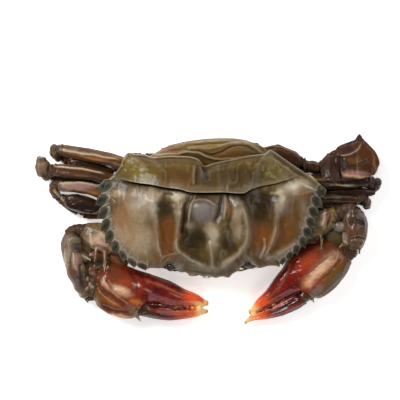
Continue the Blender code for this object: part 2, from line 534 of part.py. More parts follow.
def fill_points(outline, spacing, keep_clear_of=()):
    """Spread points in staggered rows inside an outline, clear of the lines that are given."""
    low, high = outline.min(axis=0), outline.max(axis=0)
    rows = []
    for row, y in enumerate(np.arange(low[1], high[1], spacing * 0.866)):
        shift = spacing / 2 if row % 2 else 0.0
        rows += [(x, y) for x in np.arange(low[0] + shift, high[0], spacing)]
    points = np.array(rows)
    points = points[inside_outline(points, outline, 0.45 * spacing)]
    for line in keep_clear_of:
        distance = curve_offsets(points, line)[0]
        points = points[distance > 0.55 * spacing]
    return points


def triangulate(outline, lines, fill):
    """Triangulate an outline with its inner lines and loose points."""
    verts = [Vector(p) for p in outline]
    edges = [(i, (i + 1) % len(outline)) for i in range(len(outline))]
    for line in lines:
        first = len(verts)
        verts += [Vector(p) for p in line]
        edges += [(first + i, first + i + 1) for i in range(len(line) - 1)]
    verts += [Vector(p) for p in fill]
    flat, _, faces, *_ = delaunay_2d_cdt(verts, edges, [list(range(len(outline)))], 1, 1e-4)
    return np.array([tuple(v) for v in flat]), faces


def crease_lines(outline):
    """Give the lines that the upper mesh follows: both edges of the cross fold, ridges and creases."""
    fold = smooth_rows(CROSS_FOLD, 2)
    step = np.gradient(fold, axis=0)
    step /= np.hypot(step[:, 0], step[:, 1])[:, None]
    across = np.stack([step[:, 1], -step[:, 0]], axis=1)
    lines = [fold, fold + across * FOLD_LIP]
    for curve, _, _ in RIDGES:
        line = smooth_rows(curve, 1)
        lines.append(line[inside_outline(line, outline, 1.0)])
    return lines


def build_carapace():
    """Model the carapace as one closed shell with a toothed margin."""
    outline = carapace_outline()
    lines = crease_lines(outline)
    flat, faces = triangulate(outline, lines, fill_points(outline, TOP_SPACING, lines))
    rear_edge, front_edge = lines[0], lines[1]
    upper = shell_height(flat, outline)
    for line, is_rear in ((rear_edge, True), (front_edge, False)):
        for x, y in line:
            index = int(np.argmin(np.hypot(flat[:, 0] - x, flat[:, 1] - y)))
            beside = np.array([[x, y + (0.05 if is_rear else -0.05)]])
            upper[index] = shell_height(beside, outline)[0]
    bm = bmesh.new()
    top = [bm.verts.new((x, y, z)) for (x, y), z in zip(flat, upper)]
    for face in faces:
        bm.faces.new([top[i] for i in face])
    low_flat, low_faces = triangulate(outline, [], fill_points(outline, UNDER_SPACING))
    low = [bm.verts.new((x, y, z)) for (x, y), z in zip(low_flat, shell_under(low_flat, outline))]
    for face in low_faces:
        bm.faces.new([low[i] for i in reversed(face)])
    count = len(outline)
    for index in range(count):
        after = (index + 1) % count
        bm.faces.new((top[index], low[index], low[after], top[after]))
    return add_part("carapace", bm, SHELL, 40.0)


# ---------------------------------------------------------------- body

def build_thorax():
    """Model the belly: a keel with bulges where the limbs leave it and a groove for the apron."""
    levels = ((0.0, 0.72), (1.2, 0.83), (4.0, 0.93), (7.5, 1.0), (10.4, 0.99), (BELLY_TOP, 0.93))
    sides = 44
    bm = bmesh.new()
    rings = []
    for level, size in levels:
        ring = []
        for side in range(sides):
            angle = 2 * math.pi * side / sides
            c, s = math.cos(angle), math.sin(angle)
            scallop = 1.0 + 0.035 * math.cos(10 * angle) * abs(c) * (1.0 - level / BELLY_TOP)
            x = BELLY_HALF_WIDTH * math.copysign(abs(c) ** (2 / BELLY_POWER), c)
            y = BELLY_HALF_LENGTH * math.copysign(abs(s) ** (2 / BELLY_POWER), s)
            ring.append(bm.verts.new((x * size * scallop, BELLY_CENTRE_Y + y * size * scallop, level)))
        rings.append(ring)
    for one, other in zip(rings, rings[1:]):
        for side in range(sides):
            after = (side + 1) % sides
            bm.faces.new((one[side], one[after], other[after], other[side]))
    bm.faces.new(rings[0])
    bm.faces.new(rings[-1])
    thorax = add_part("thorax", bm, BELLY)
    groove = prism(groove_outline(), -GROOVE_SPARE, APRON_THICK + GAP)
    combine(thorax, add_tool("apron_groove", groove), "DIFFERENCE")


def groove_outline():
    """Outline the groove that holds the apron and the telson, a little wider than they are."""
    telson_side = [(x + GAP, y - GAP) for x, y in TELSON_OUTLINE if x >= 0.0]
    apron_side = [(x + GAP, y) for x, y in APRON_OUTLINE if x > 0.0]
    apron_side[-1] = (apron_side[-1][0], BELLY_CENTRE_Y + BELLY_HALF_LENGTH + 2 * GROOVE_SPARE)
    side = telson_side + apron_side
    return side + [(-x, y) for x, y in reversed(side)]


def build_rear_plates():
    """Model the first abdominal plates, which fall behind the carapace and turn under the body."""
    fall = smooth_rows([(y, z, w) for (y, z), w in zip(REAR_FALL, REAR_HALF_WIDTHS)], 2)
    columns = 11
    bm = bmesh.new()
    rows = []
    for y, z, width in fall:
        row = []
        for column in range(columns):
            x = width * (2 * column / (columns - 1) - 1)
            shift = REAR_SWEEP[0] * x + REAR_SWEEP[1] * x * x
            droop = REAR_DROOP * x * x * min(1.0, z / 12.0)
            settle = min(1.0, max(0.0, (y - 27.0) / 6.0 if z > 12.0 else (z - 3.0) / 9.0))
            row.append(bm.verts.new((x, y + shift * settle, z - droop)))
        rows.append(row)
    for one, other in zip(rows, rows[1:]):
        for column in range(columns - 1):
            bm.faces.new((one[column], one[column + 1], other[column + 1], other[column]))
    plates = add_part("abdomen_tergites", bm, TERGITE)
    shell = plates.modifiers.new("thickness", "SOLIDIFY")
    shell.thickness = REAR_THICK * MM
    shell.offset = 0.0
    return plates


def build_belly_plates():
    """Model the folded apron and the telson, flat on the floor under the thorax."""
    for name, outline in (("abdomen_apron", APRON_OUTLINE), ("telson", TELSON_OUTLINE)):
        obj = add_part(name, prism(outline, 0.0, APRON_THICK), BELLY)
        bevel = obj.modifiers.new("edge", "BEVEL")
        bevel.width = APRON_BEVEL * MM
        bevel.segments = 1


def build_head():
    """Model the eyes, the antennae and the outer mouthparts on both sides."""
    for side, hand in (("right", -1), ("left", 1)):
        bm = bmesh.new()
        bmesh.ops.create_uvsphere(bm, u_segments=10, v_segments=7, radius=1.0)
        bmesh.ops.scale(bm, vec=EYE_HALF_SIZE, verts=bm.verts)
        bmesh.ops.translate(bm, vec=EYES[side], verts=bm.verts)
        add_part("eye_" + side, bm, EYE, 180.0)
        path = [(x * hand, y, z, ANTENNA_RADIUS, ANTENNA_RADIUS) for x, y, z in ANTENNA_PATH]
        add_part("antenna_" + side, loft(path, sides=6, steps=3), WHISKER)
        lip = ((hand * 4.0, -16.6, 2.2, 2.2, 0.9), (hand * 4.3, -17.2, 5.4, 3.5, 1.3),
               (hand * 4.4, -17.5, 9.2, 3.7, 1.3), (hand * 4.3, -17.4, 12.4, 2.8, 0.9))
        add_part("maxilliped_" + side, loft(lip, across=(1.0, 0.0, 0.0)), BELLY)


# ---------------------------------------------------------------- limbs

def claw_stations(side, rows):
    """Turn stations in a claw's own plane into places in the model."""
    x0, y0 = CLAW_ORIGIN[side]
    heading = CLAW_HEADING[side]
    c, s = math.cos(heading), math.sin(heading)
    inward = 1.0 if side == "right" else -1.0
    return [(x0 + reach * c - inward * offset * s, y0 + reach * s + inward * offset * c, *rest)
            for reach, offset, *rest in rows]


def build_claws():
    """Model both chelipeds: upper arm, wrist, palm with its fixed finger, and moving finger."""
    for side in ("right", "left"):
        heading = CLAW_HEADING[side]
        add_part(f"claw_{side}_arm", loft(CLAW_UPPER[side], sides=10), WRIST)
        wrist = loft(CLAW_WRIST[side], sides=10, heading=WRIST_HEADING)
        add_part(f"claw_{side}_wrist", wrist, WRIST)
        palm = loft(claw_stations(side, PALM[side]), sides=12, power=2.2, heading=heading)
        add_part(f"claw_{side}_palm", palm, PALM_RED)
        rows = [(*row, 0.0) for row in FINGER[side]]
        finger = loft(claw_stations(side, rows), sides=8, power=2.1, heading=heading)
        add_part(f"claw_{side}_finger", finger, FINGER_RED)


def swim_level(x, y):
    """Give the level of the left swimming blade, which leans on the leg in front of it."""
    return SWIM_LEVEL - SWIM_TILT * (y - SWIM_LEAN_Y)


def build_legs():
    """Model the walking legs and the swimming legs, segment by segment."""
    for leg, segments in LEGS.items():
        for segment, stations in segments.items():
            steps = 2 if len(stations) < 4 else 1
            add_part(f"{leg}_{segment}", loft(stations, steps=steps), LEG)
    add_part("swim_left_propodus", plate(FAN_OUTLINE, swim_level, 1.5, rounds=3), BLADE)
    add_part("swim_left_paddle", plate(PADDLE_OUTLINE["left"], swim_level, 1.3), BLADE)
    add_part("swim_right_paddle", plate(PADDLE_OUTLINE["right"], lambda x, y: 1.4, 1.0, rounds=3), BLADE)


def build_spines():
    """Join the spines of the claws to the pieces that carry them."""
    for number, (owner, base, tip, radius) in enumerate(SPINES):
        base, tip = Vector(base), Vector(tip)
        axis = tip - base
        bm = bmesh.new()
        bmesh.ops.create_cone(bm, cap_ends=True, segments=6, radius1=radius, radius2=SPINE_TIP,
                              depth=axis.length)
        turn = axis.to_track_quat("Z", "Y").to_matrix()
        bmesh.ops.rotate(bm, matrix=turn, verts=bm.verts)
        bmesh.ops.translate(bm, vec=(base + tip) / 2, verts=bm.verts)
        combine(bpy.data.objects[owner], add_tool(f"spine_{number}", bm), "UNION")


def centre_on_floor():
    """Shift the whole crab so that its box is centred over the origin."""
    bpy.context.view_layer.update()
    graph = bpy.context.evaluated_depsgraph_get()
    lows, highs = [], []
    for obj in PARTS.objects:
        mesh = obj.evaluated_get(graph).to_mesh()
        points = np.empty(len(mesh.vertices) * 3)
        mesh.vertices.foreach_get("co", points)
        points = points.reshape(-1, 3)
        lows.append(points.min(axis=0))
        highs.append(points.max(axis=0))
        obj.evaluated_get(graph).to_mesh_clear()
    middle = (np.min(lows, axis=0) + np.max(highs, axis=0)) / 2
    for obj in list(PARTS.objects) + list(TOOLS.objects):
        obj.location = (-middle[0], -middle[1], 0.0)


clear_scene()
PARTS = new_collection("soft_shell_crab")
TOOLS = new_collection("tools")
build_carapace()
build_thorax()
build_rear_plates()
build_belly_plates()
build_head()
build_claws()
build_legs()
build_spines()
centre_on_floor()
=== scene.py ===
"""Looks of a soft-shell mud crab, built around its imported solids.

The crab faces -Y and its right side is on -X.  Every shell plate, limb segment, eye and feeler is a fine
mesh of its own that stands for one solid of the frame, and soft skins, spines, hairs and mouth parts are
added between them.  Shapes are worked out in millimetres and turned into metres when a mesh is made.
"""

import logging
import math
from dataclasses import dataclass, field, replace
from enum import Enum
from functools import lru_cache
from typing import Callable, Iterable, Sequence

import bmesh
import bpy
import numpy as np
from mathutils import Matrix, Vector
from mathutils.geometry import delaunay_2d_cdt
from mathutils.kdtree import KDTree


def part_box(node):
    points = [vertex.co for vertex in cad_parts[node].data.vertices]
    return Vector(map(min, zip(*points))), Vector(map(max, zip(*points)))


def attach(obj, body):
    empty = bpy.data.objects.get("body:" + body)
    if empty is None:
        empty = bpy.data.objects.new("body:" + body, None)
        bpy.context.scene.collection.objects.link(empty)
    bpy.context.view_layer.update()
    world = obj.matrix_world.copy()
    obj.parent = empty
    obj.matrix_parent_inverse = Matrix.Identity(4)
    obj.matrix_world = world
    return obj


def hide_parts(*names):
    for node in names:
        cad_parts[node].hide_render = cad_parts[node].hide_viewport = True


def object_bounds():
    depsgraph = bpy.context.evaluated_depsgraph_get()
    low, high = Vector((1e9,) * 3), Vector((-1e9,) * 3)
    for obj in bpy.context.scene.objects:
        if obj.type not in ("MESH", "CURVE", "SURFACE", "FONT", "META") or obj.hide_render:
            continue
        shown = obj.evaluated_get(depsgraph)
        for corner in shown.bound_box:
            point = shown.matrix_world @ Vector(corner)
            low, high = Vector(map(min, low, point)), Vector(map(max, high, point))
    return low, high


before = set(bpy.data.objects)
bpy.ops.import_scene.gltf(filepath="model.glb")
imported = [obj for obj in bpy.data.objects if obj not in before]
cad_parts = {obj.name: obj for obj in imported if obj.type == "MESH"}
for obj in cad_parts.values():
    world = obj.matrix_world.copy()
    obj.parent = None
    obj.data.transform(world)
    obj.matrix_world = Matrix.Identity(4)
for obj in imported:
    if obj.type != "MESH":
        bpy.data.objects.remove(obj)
CAD_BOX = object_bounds()

Array = np.ndarray
Colour = tuple[float, float, float]
Point2 = tuple[float, float]
Point3 = tuple[float, float, float]
Row = tuple[float, ...]
Masks = dict[str, Array]

MM = 0.001
FAR = 1e9
LOW_SKIN = 0.05
BODY = "root"
LOG = logging.getLogger("soft_shell_crab")


class Side(Enum):
    """The two sides of the crab, as the crab itself has them."""

    RIGHT = "right"
    LEFT = "left"

    @property
    def hand(self) -> int:
        """Sign of X on this side."""
        return -1 if self is Side.RIGHT else 1


class Slot(Enum):
    """The record's material slots."""

    SHELL = "shell"
    BELLY = "belly"
    TERGITES = "tergites"
    ARM = "arm"
    WRIST = "wrist"
    PALM = "palm"
    FINGER = "finger"
    LEG = "leg"
    BLADE = "blade"
    EYE = "eye"
    WHISKER = "whisker"


# ---------------------------------------------------------------- numbers on a surface

def smooth_rows(rows: Sequence[Sequence[float]] | Array, steps: int) -> Array:
    """Read a Catmull-Rom curve through rows of numbers.

    Args:
        rows: The rows that the curve passes through.
        steps: Readings for each span between two rows.

    Returns:
        The readings, with the last row at the end.
    """
    rows = np.array(rows, float)
    ends = np.vstack([2 * rows[0] - rows[1], rows, 2 * rows[-1] - rows[-2]])
    t = (np.arange(steps) / steps)[:, None]
    readings = []
    for before, start, end, after in zip(ends, ends[1:], ends[2:], ends[3:]):
        cubic = 3 * (start - end) + after - before
        square = 2 * before - 5 * start + 4 * end - after
        readings.append(start + 0.5 * t * (end - before + t * (square + t * cubic)))
    return np.vstack(readings + [rows[-1:]])


def ramp(values: Array, low: float, high: float) -> Array:
    """Rise smoothly from 0 at low to 1 at high, which may be the smaller one."""
    t = np.clip((values - low) / (high - low), 0.0, 1.0)
    return t * t * (3.0 - 2.0 * t)


def bell(values: Array, reach: float | Array) -> Array:
    """Fall from 1 at zero towards 0 beyond the reach."""
    return np.exp(-(values / reach) ** 2)


def fade_ends(place: Array, sharpness: float = 7.0) -> Array:
    """Let a fold die out towards both of its ends."""
    return np.clip(np.minimum(place, 1.0 - place) * sharpness, 0.0, 1.0)


def unit(ways: Array) -> Array:
    """Give the vectors of length 1 along one way or rows of ways."""
    return ways / np.maximum(np.linalg.norm(ways, axis=-1, keepdims=True), 1e-9)


def read_rows_at(place: Array | float, places: Array, rows: Array) -> Array:
    """Read between rows of numbers that belong to rising places."""
    return np.stack([np.interp(place, places, column) for column in rows.T], axis=-1)


def lengths_along(line: Array) -> Array:
    """Give each point's distance from the start of a line on the plan."""
    return np.concatenate([[0.0], np.cumsum(np.hypot(*np.diff(line, axis=0).T))])


@dataclass(frozen=True)
class Noise:
    """Smooth value noise in space, seeded so that each run gives the same surface."""

    size: float
    seed: int = 0
    octaves: int = 1
    roughness: float = 0.5

    @staticmethod
    def _lattice(cells: Array, seed: int) -> Array:
        """Give a number from -1 to 1 for each whole-numbered cell.

        Args:
            cells: Whole-numbered cells, one row each.
            seed: Seed of the layer.

        Returns:
            One number for each cell.
        """
        mixed = cells[..., 0] * 374761393 + cells[..., 1] * 668265263 + cells[..., 2] * 2147483647
        mixed = (mixed + seed * 974634777) & 0xFFFFFFFF
        for shift, factor in ((13, 1274126177), (16, 2246822519)):
            mixed = ((mixed ^ (mixed >> shift)) * factor) & 0xFFFFFFFF
        return (mixed & 0xFFFF) / 32767.5 - 1.0

    def _layer(self, points: Array, seed: int) -> Array:
        """Read one layer of the noise.

        Args:
            points: Places, in cells.
            seed: Seed of the layer.

        Returns:
            One number for each point.
        """
        base = np.floor(points).astype(np.int64)
        part = points - base
        part = part * part * (3.0 - 2.0 * part)
        total = np.zeros(len(points))
        for corner in range(8):
            step = np.array([(corner >> axis) & 1 for axis in range(3)])
            total += np.prod(np.where(step, part, 1.0 - part), axis=1) * self._lattice(base + step, seed)
        return total

    def at(self, points: Array, stretch: Row = (1.0, 1.0, 1.0)) -> Array:
        """Read the noise.

        Args:
            points: Places in millimetres, one row each, on the plan or in space.
            stretch: How much longer the blotches are along each axis.

        Returns:
            One number from about -1 to 1 for each point.
        """
        if points.shape[1] == 2:
            points = np.column_stack([points, np.zeros(len(points))])
        scaled = points / (self.size * np.array(stretch, float)) + 0.37 * (self.seed + 1)
        weights = self.roughness ** np.arange(self.octaves)
        total = sum(weight * self._layer(scaled * 2.03 ** octave, self.seed + 31 * octave)
                    for octave, weight in enumerate(weights))
        return total / weights.sum()

    def wander(self, points: Array, reach: float, apart: float = 31.0) -> Array:
        """Give rows of X and Y, up to the reach, that make an edge uneven."""
        return reach * np.column_stack([self.at(points), self.at(points + apart)])


def curve_offsets(points: Array, curve: Sequence[Point2], reach: float = FAR) -> tuple[Array, Array, Array]:
    """Measure how points lie beside a curve on the plan.

    Args:
        points: Places, of which only X and Y are read.
        curve: Points that the curve passes through.
        reach: Distance beyond which nothing is measured.

    Returns:
        Each point's distance from the curve, the side it lies on, and its place along it from 0 to 1.
    """
    line = smooth_rows(curve, 6)
    lengths = lengths_along(line)
    flat = points[:, :2]
    near = ((flat > line.min(axis=0) - reach) & (flat < line.max(axis=0) + reach)).all(axis=1)
    close = np.flatnonzero(near)
    distance, side, place = np.full(len(points), FAR), np.zeros(len(points)), np.zeros(len(points))
    for start, end, begun in zip(line, line[1:], lengths):
        step = end - start
        rel = flat[close] - start
        t = np.clip((rel @ step) / (step @ step), 0.0, 1.0)
        off = np.hypot(*(rel - t[:, None] * step).T)
        nearer = off < distance[close]
        found = close[nearer]
        distance[found] = off[nearer]
        side[found] = np.sign(step[0] * rel[nearer, 1] - step[1] * rel[nearer, 0])
        place[found] = (begun + t[nearer] * math.hypot(*step)) / lengths[-1]
    return distance, side, place


def raise_mask(masks: Masks, name: str, weight: Array) -> None:
    """Raise a mask, which may be new, to at least a weight."""
    masks[name] = np.maximum(masks.get(name, 0.0), weight)


@dataclass(frozen=True)
class Patch:
    """A soft oval area on the plan that carries one mask of the markings."""

    mask: str
    x: float
    y: float
    half_x: float
    half_y: float
    strength: float = 1.0
    tilt: float = 0.0

    def weight(self, points: Array) -> Array:
        """Give the patch's strength at each point.

        Args:
            points: Places on the plan.

        Returns:
            One weight for each point.
        """
        turn = math.radians(self.tilt)
        x, y = points[:, 0] - self.x, points[:, 1] - self.y
        u = (x * math.cos(turn) + y * math.sin(turn)) / self.half_x
        v = (y * math.cos(turn) - x * math.sin(turn)) / self.half_y
        return self.strength * np.exp(-(u * u + v * v) ** 1.4)


def patches(**given: Row | tuple[Row, ...]) -> tuple[Patch, ...]:
    """List patches by mask.

    Args:
        given: For each mask one row or several: x, y, both half sizes, and the strength and tilt if any.

    Returns:
        The patches.
    """
    return tuple(Patch(mask, *row) for mask, rows in given.items()
                 for row in (rows if isinstance(rows[0], tuple) else (rows,)))


def paint_patches(given: Iterable[Patch], points: Array, wander: Array) -> Masks:
    """Add up patches mask by mask.

    Args:
        given: The patches to lay down.
        points: Places on the surface, in the patches' own plane.
        wander: Rows of noise, at most a millimetre or two, that make the edges uneven.

    Returns:
        One array of weights from 0 to 1 for each mask.
    """
    masks: Masks = {}
    for patch in given:
        masks[patch.mask] = masks.get(patch.mask, 0.0) + patch.weight(points[:, :2] + wander)
    return {name: np.clip(weight, 0.0, 1.0) for name, weight in masks.items()}


@dataclass(frozen=True)
class Fold:
    """A ridge or a crease of the soft shell: its height, reach, tone and line on the plan. The pale tone of a
    ridge is partly a real pale line and partly a painted highlight; the dark tone of a crease is painted
    shade.
    """

    rise: float
    reach: float
    pale: float
    dark: float
    width: float
    line: tuple[Point2, ...]

    def draw(self, points: Array, masks: Masks, share: Array, fading: Point2 = (7.0, 7.0),
             spread: float | Array = 1.0, tone: float | Array = 1.0) -> Array:
        """Mark the fold.

        Args:
            points: Places on the plan.
            masks: Masks of the surface, whose line and crease are raised.
            share: Share of the fold that shows at each point.
            fading: How sharply the height and the tone die out towards the ends.
            spread: How much wider than usual the tone is.
            tone: Strength of the tone where it is uneven.

        Returns:
            The height that the fold adds to each point.
        """
        distance, _, place = curve_offsets(points, self.line, self.reach * 3 + 1)
        strength = bell(distance, self.width * spread) * fade_ends(place, fading[1]) * tone
        # The line mask is partly a painted highlight along the ridge; the crease mask is painted shade in the
        # fold.
        raise_mask(masks, "line", self.pale * strength)
        raise_mask(masks, "crease", self.dark * strength)
        return self.rise * share * fade_ends(place, fading[0]) * bell(distance, self.reach)


def folds(ridges: Sequence[tuple] = (), creases: Sequence[tuple] = ()) -> tuple[Fold, ...]:
    """List folds, in rows of rise, reach, tone, width of the tone and the points of the line.

    Args:
        ridges: Folds with a pale tone, partly a painted highlight.
        creases: Folds with a dark tone, which is painted shade.

    Returns:
        The folds.
    """
    return (tuple(Fold(rise, reach, tone, 0.0, width, line) for rise, reach, tone, width, *line in ridges)
            + tuple(Fold(rise, reach, 0.0, tone, width, line) for rise, reach, tone, width, *line in creases))


@dataclass(frozen=True)
class Swelling:
    """A round swelling or hollow of the shell."""

    x: float
    y: float
    half_x: float
    half_y: float
    rise: float

    def height(self, points: Array) -> Array:
        """Give the height that it adds to each point."""
        return self.rise * bell(points[:, 0] - self.x, self.half_x) * bell(points[:, 1] - self.y, self.half_y)


def swellings(*rows: Row) -> tuple[Swelling, ...]:
    """List swellings, in rows of x, y, both half sizes and rise."""
    return tuple(Swelling(*row) for row in rows)


@dataclass(frozen=True)
class Look:
    """What is special about one segment: its coloured patches, its folds and its lumps."""

    marks: tuple[Patch, ...] = ()
    lines: tuple[Fold, ...] = ()
    lumps: tuple[Swelling, ...] = ()


# ---------------------------------------------------------------- meshes

def read_rows(items: bpy.types.bpy_prop_collection, name: str, width: int, kind: type = np.float32) -> Array:
    """Read one property of all the parts of a mesh.

    Args:
        items: The mesh's vertices or edges.
        name: Name of the property.
        width: Numbers in each row.
        kind: Type of number that Blender keeps.

    Returns:
        One row for each part.
    """
    found = np.empty(len(items) * width, kind)
    items.foreach_get(name, found)
    return found.reshape(-1, width).astype(float if kind is np.float32 else int)


@dataclass
class Surface:
    """Points, faces and masks of one mesh, in millimetres."""

    points: Array
    faces: list[Sequence[int]]
    masks: Masks = field(default_factory=dict)

    @classmethod
    def joined(cls, parts: Sequence["Surface"]) -> "Surface":
        """Put surfaces with the same masks into one, as loose faces side by side.

        Args:
            parts: The surfaces.

        Returns:
            The joined surface.
        """
        shifts = np.cumsum([0] + [len(part.points) for part in parts])
        faces = [[i + shift for i in face] for part, shift in zip(parts, shifts) for face in part.faces]
        masks = {name: np.concatenate([part.masks[name] for part in parts]) for name in parts[0].masks}
        return cls(np.vstack([part.points for part in parts]), faces, masks)

    def _measured(self, part: str, name: str, width: int, kind: type = np.float32) -> Array:
        """Read one property from a passing mesh of the surface.

        Args:
            part: The mesh's collection that is read.
            name: Name of the property.
            width: Numbers in each row.
            kind: Type of number.

        Returns:
            One row for each part.
        """
        mesh = self.to_mesh("measure")
        rows = read_rows(getattr(mesh, part), name, width, kind)
        bpy.data.meshes.remove(mesh)
        return rows

    def neighbours(self) -> Array:
        """Give the pairs of points that share an edge."""
        return self._measured("edges", "vertices", 2, np.int32)

    def normals(self) -> Array:
        """Give an outward unit vector at each point."""
        return self._measured("vertices", "normal", 3)

    def relaxed(self, rounds: int, step: float = 0.5, keep: float = 0.0) -> "Surface":
        """Even the surface out by moving each point towards its neighbours.

        Args:
            rounds: How many times the points move.
            step: Share of the way that they move each time.
            keep: Share of each move that is taken back, which holds the volume.

        Returns:
            This surface, with its points moved.
        """
        pairs = self.neighbours()
        for _ in range(rounds):
            for way in ((step, -keep) if keep else (step,)):
                self.points = self.points + way * (self.averaged(self.points, pairs) - self.points)
        return self

    def averaged(self, values: Array, pairs: Array, rounds: int = 1) -> Array:
        """Replace each point's values by the mean of its neighbours'.

        Args:
            values: One row of numbers for each point.
            pairs: Pairs of neighbours.
            rounds: How many times the mean is taken.

        Returns:
            The averaged rows.
        """
        count = np.maximum(np.bincount(pairs.ravel(), minlength=len(values)), 1).astype(float)
        one, two = pairs.T
        for _ in range(rounds):
            total = [np.bincount(one, column[two], len(values)) + np.bincount(two, column[one], len(values))
                     for column in values.reshape(len(values), -1).T]
            values = (np.array(total) / count).T.reshape(values.shape)
        return values

    def shade_relief(self, scale: float, rounds: int = 4) -> "Surface":
        """Mask the crests and the hollows of the surface, which the finishes lighten as painted highlight and
        darken as painted shade.

        Args:
            scale: Height over the surroundings, in millimetres, that gives a full mask.
            rounds: How wide the surroundings are, in steps from point to point.

        Returns:
            This surface, with the masks crest and hollow.
        """
        pairs = self.neighbours()
        lift = ((self.points - self.averaged(self.points, pairs, rounds)) * self.normals()).sum(axis=1)
        lift = self.averaged(lift, pairs) / scale
        # crest carries painted highlight and hollow carries painted shade in the finishes' tints.
        self.masks.update(crest=np.clip(lift, 0.0, 1.0), hollow=np.clip(-lift, 0.0, 1.0))
        return self

    def swollen(self, heights: Array) -> "Surface":
        """Move each point along its normal by its own height."""
        self.points = self.points + self.normals() * heights[:, None]
        return self

    def grooved(self, depth: Array, full: float) -> "Surface":
        """Press grooves in and mask them as crease, fully where they reach the full depth; the crease tint
        darkens them as painted shade.
        """
        self.masks["crease"] = np.clip(depth / full, 0.0, 1.0)
        return self.swollen(-depth)

    def settled(self, level: float = 0.0) -> "Surface":
        """Lift every point that is below a level over the ground to it."""
        self.points[:, 2] = np.maximum(self.points[:, 2], level)
        return self

    def to_mesh(self, name: str) -> bpy.types.Mesh:
        """Make a Blender mesh in metres, with the masks as point attributes.

        Args:
            name: Name of the mesh.

        Returns:
            The mesh.
        """
        mesh = bpy.data.meshes.new(name)
        mesh.from_pydata((self.points * MM).tolist(), [], [tuple(face) for face in self.faces])
        for mask, weights in self.masks.items():
            attribute = mesh.attributes.new(mask, "FLOAT", "POINT")
            attribute.data.foreach_set("value", np.asarray(weights, np.float32))
        mesh.update()
        return mesh

    def to_piece(self, name: str, finish: "Finish", slot: Slot, nodes: Sequence[str] = (),
                 sharp: float | None = None) -> bpy.types.Object:
        """Make the piece that is seen.

        Args:
            name: Name of the piece.
            finish: Finish that it wears.
            slot: The record's slot; not used.
            nodes: Solids of the frame that it stands for.
            sharp: Angle in degrees above which an edge stays sharp.

        Returns:
            The new object, riding on the body.
        """
        mesh = self.to_mesh(name)
        mesh.shade_smooth()
        if sharp:
            mesh.set_sharp_from_angle(angle=math.radians(sharp))
        mesh.materials.append(finish.material())
        obj = bpy.data.objects.new(name, mesh)
        bpy.context.scene.collection.objects.link(obj)
        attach(obj, BODY)
        if nodes:
            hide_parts(*nodes)
        LOG.info("%s: %d points, %d faces", name, len(self.points), len(self.faces))
        return obj


def node_box(node: str) -> tuple[Array, Array]:
    """Give the lowest and the highest corner of a solid of the frame, in millimetres."""
    low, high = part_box(node)
    return np.array(low) / MM, np.array(high) / MM


def node_points(node: str) -> Array:
    """Give the corner points of one solid of the frame, in millimetres."""
    return read_rows(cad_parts[node].data.vertices, "co", 3) / MM


def even_skin(node: str, cell: float) -> Surface:
    """Wrap a solid in a mesh of even small quads.

    Args:
        node: Solid of the frame.
        cell: Size of a quad in millimetres.

    Returns:
        The wrapped surface.
    """
    bm = bmesh.new()
    bm.from_mesh(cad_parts[node].data)
    bmesh.ops.remove_doubles(bm, verts=bm.verts, dist=0.001 * MM)
    bmesh.ops.scale(bm, vec=(1 / MM,) * 3, verts=bm.verts)
    mesh = bpy.data.meshes.new("wrap")
    bm.to_mesh(mesh)
    bm.free()
    obj = bpy.data.objects.new("wrap", mesh)
    bpy.context.scene.collection.objects.link(obj)
    modifier = obj.modifiers.new("wrap", "REMESH")
    modifier.mode = "VOXEL"
    modifier.voxel_size = cell
    bpy.context.view_layer.update()
    seen = obj.evaluated_get(bpy.context.evaluated_depsgraph_get())
    wrapped = seen.to_mesh()
    faces = [list(face.vertices) for face in wrapped.polygons]
    surface = Surface(read_rows(wrapped.vertices, "co", 3), faces)
    seen.to_mesh_clear()
    bpy.data.objects.remove(obj)
    bpy.data.meshes.remove(mesh)
    return surface


@lru_cache(maxsize=None)
def dense_points(node: str, cell: float = 0.5) -> Array:
    """Give points that lie evenly all over one solid of the frame, in millimetres."""
    return even_skin(node, cell).points


# ---------------------------------------------------------------- the plan

@dataclass(frozen=True)
class Plan:
    """The drawing plane of the crab: X = 0 is the apron's middle line, its front edge has one Y."""

    apron_node: str = "abdomen_apron"
    apron_front: float = 5.4

    def shift(self) -> Array:
        """Give what turns a place on the plan into a place in the frame."""
        low, high = node_box(self.apron_node)
        return np.array([(low[0] + high[0]) / 2, low[1] - self.apron_front, 0.0])


PLAN_SHIFT = Plan().shift()


# ---------------------------------------------------------------- shader maths and finishes

def srgb(colour: Colour) -> Colour:
    """Turn a screen colour from 0 to 255 into the linear colour that shaders use."""
    parts = (part / 255 for part in colour)
    return tuple(p / 12.92 if p < 0.04045 else ((p + 0.055) / 1.055) ** 2.4 for p in parts)


class Value:
    """A socket that takes part in Python expressions: each operation adds its Math node."""

    def __init__(self, sheet: "NodeSheet", socket: bpy.types.NodeSocket) -> None:
        """Wrap one output socket of a node sheet."""
        self.sheet = sheet
        self.socket = socket

    def _math(self, operation: str, *terms: "Value | float") -> "Value":
        """Add a Math node."""
        return self.sheet.node("ShaderNodeMath", {"operation": operation}, dict(enumerate(terms)))

    def __add__(self, other: "Value | float") -> "Value":
        """Add."""
        return self._math("ADD", self, other)

    def __radd__(self, other: float) -> "Value":
        """Add to a number."""
        return self._math("ADD", other, self)

    def __sub__(self, other: "Value | float") -> "Value":
        """Subtract."""
        return self._math("SUBTRACT", self, other)

    def __rsub__(self, other: float) -> "Value":
        """Subtract from a number."""
        return self._math("SUBTRACT", other, self)

    def __mul__(self, other: "Value | float") -> "Value":
        """Multiply."""
        return self._math("MULTIPLY", self, other)

    def __rmul__(self, other: float) -> "Value":
        """Multiply a number."""
        return self._math("MULTIPLY", other, self)

    def clipped(self) -> "Value":
        """Keep the number between 0 and 1."""
        return self._math("MINIMUM", self._math("MAXIMUM", self, 0.0), 1.0)

    def step(self, low: float, high: float) -> "Value":
        """Rise smoothly from 0 at low to 1 at high."""
        return self.sheet.node("ShaderNodeMapRange", {"interpolation_type": "SMOOTHSTEP"},
                               {"Value": self, "From Min": low, "From Max": high})


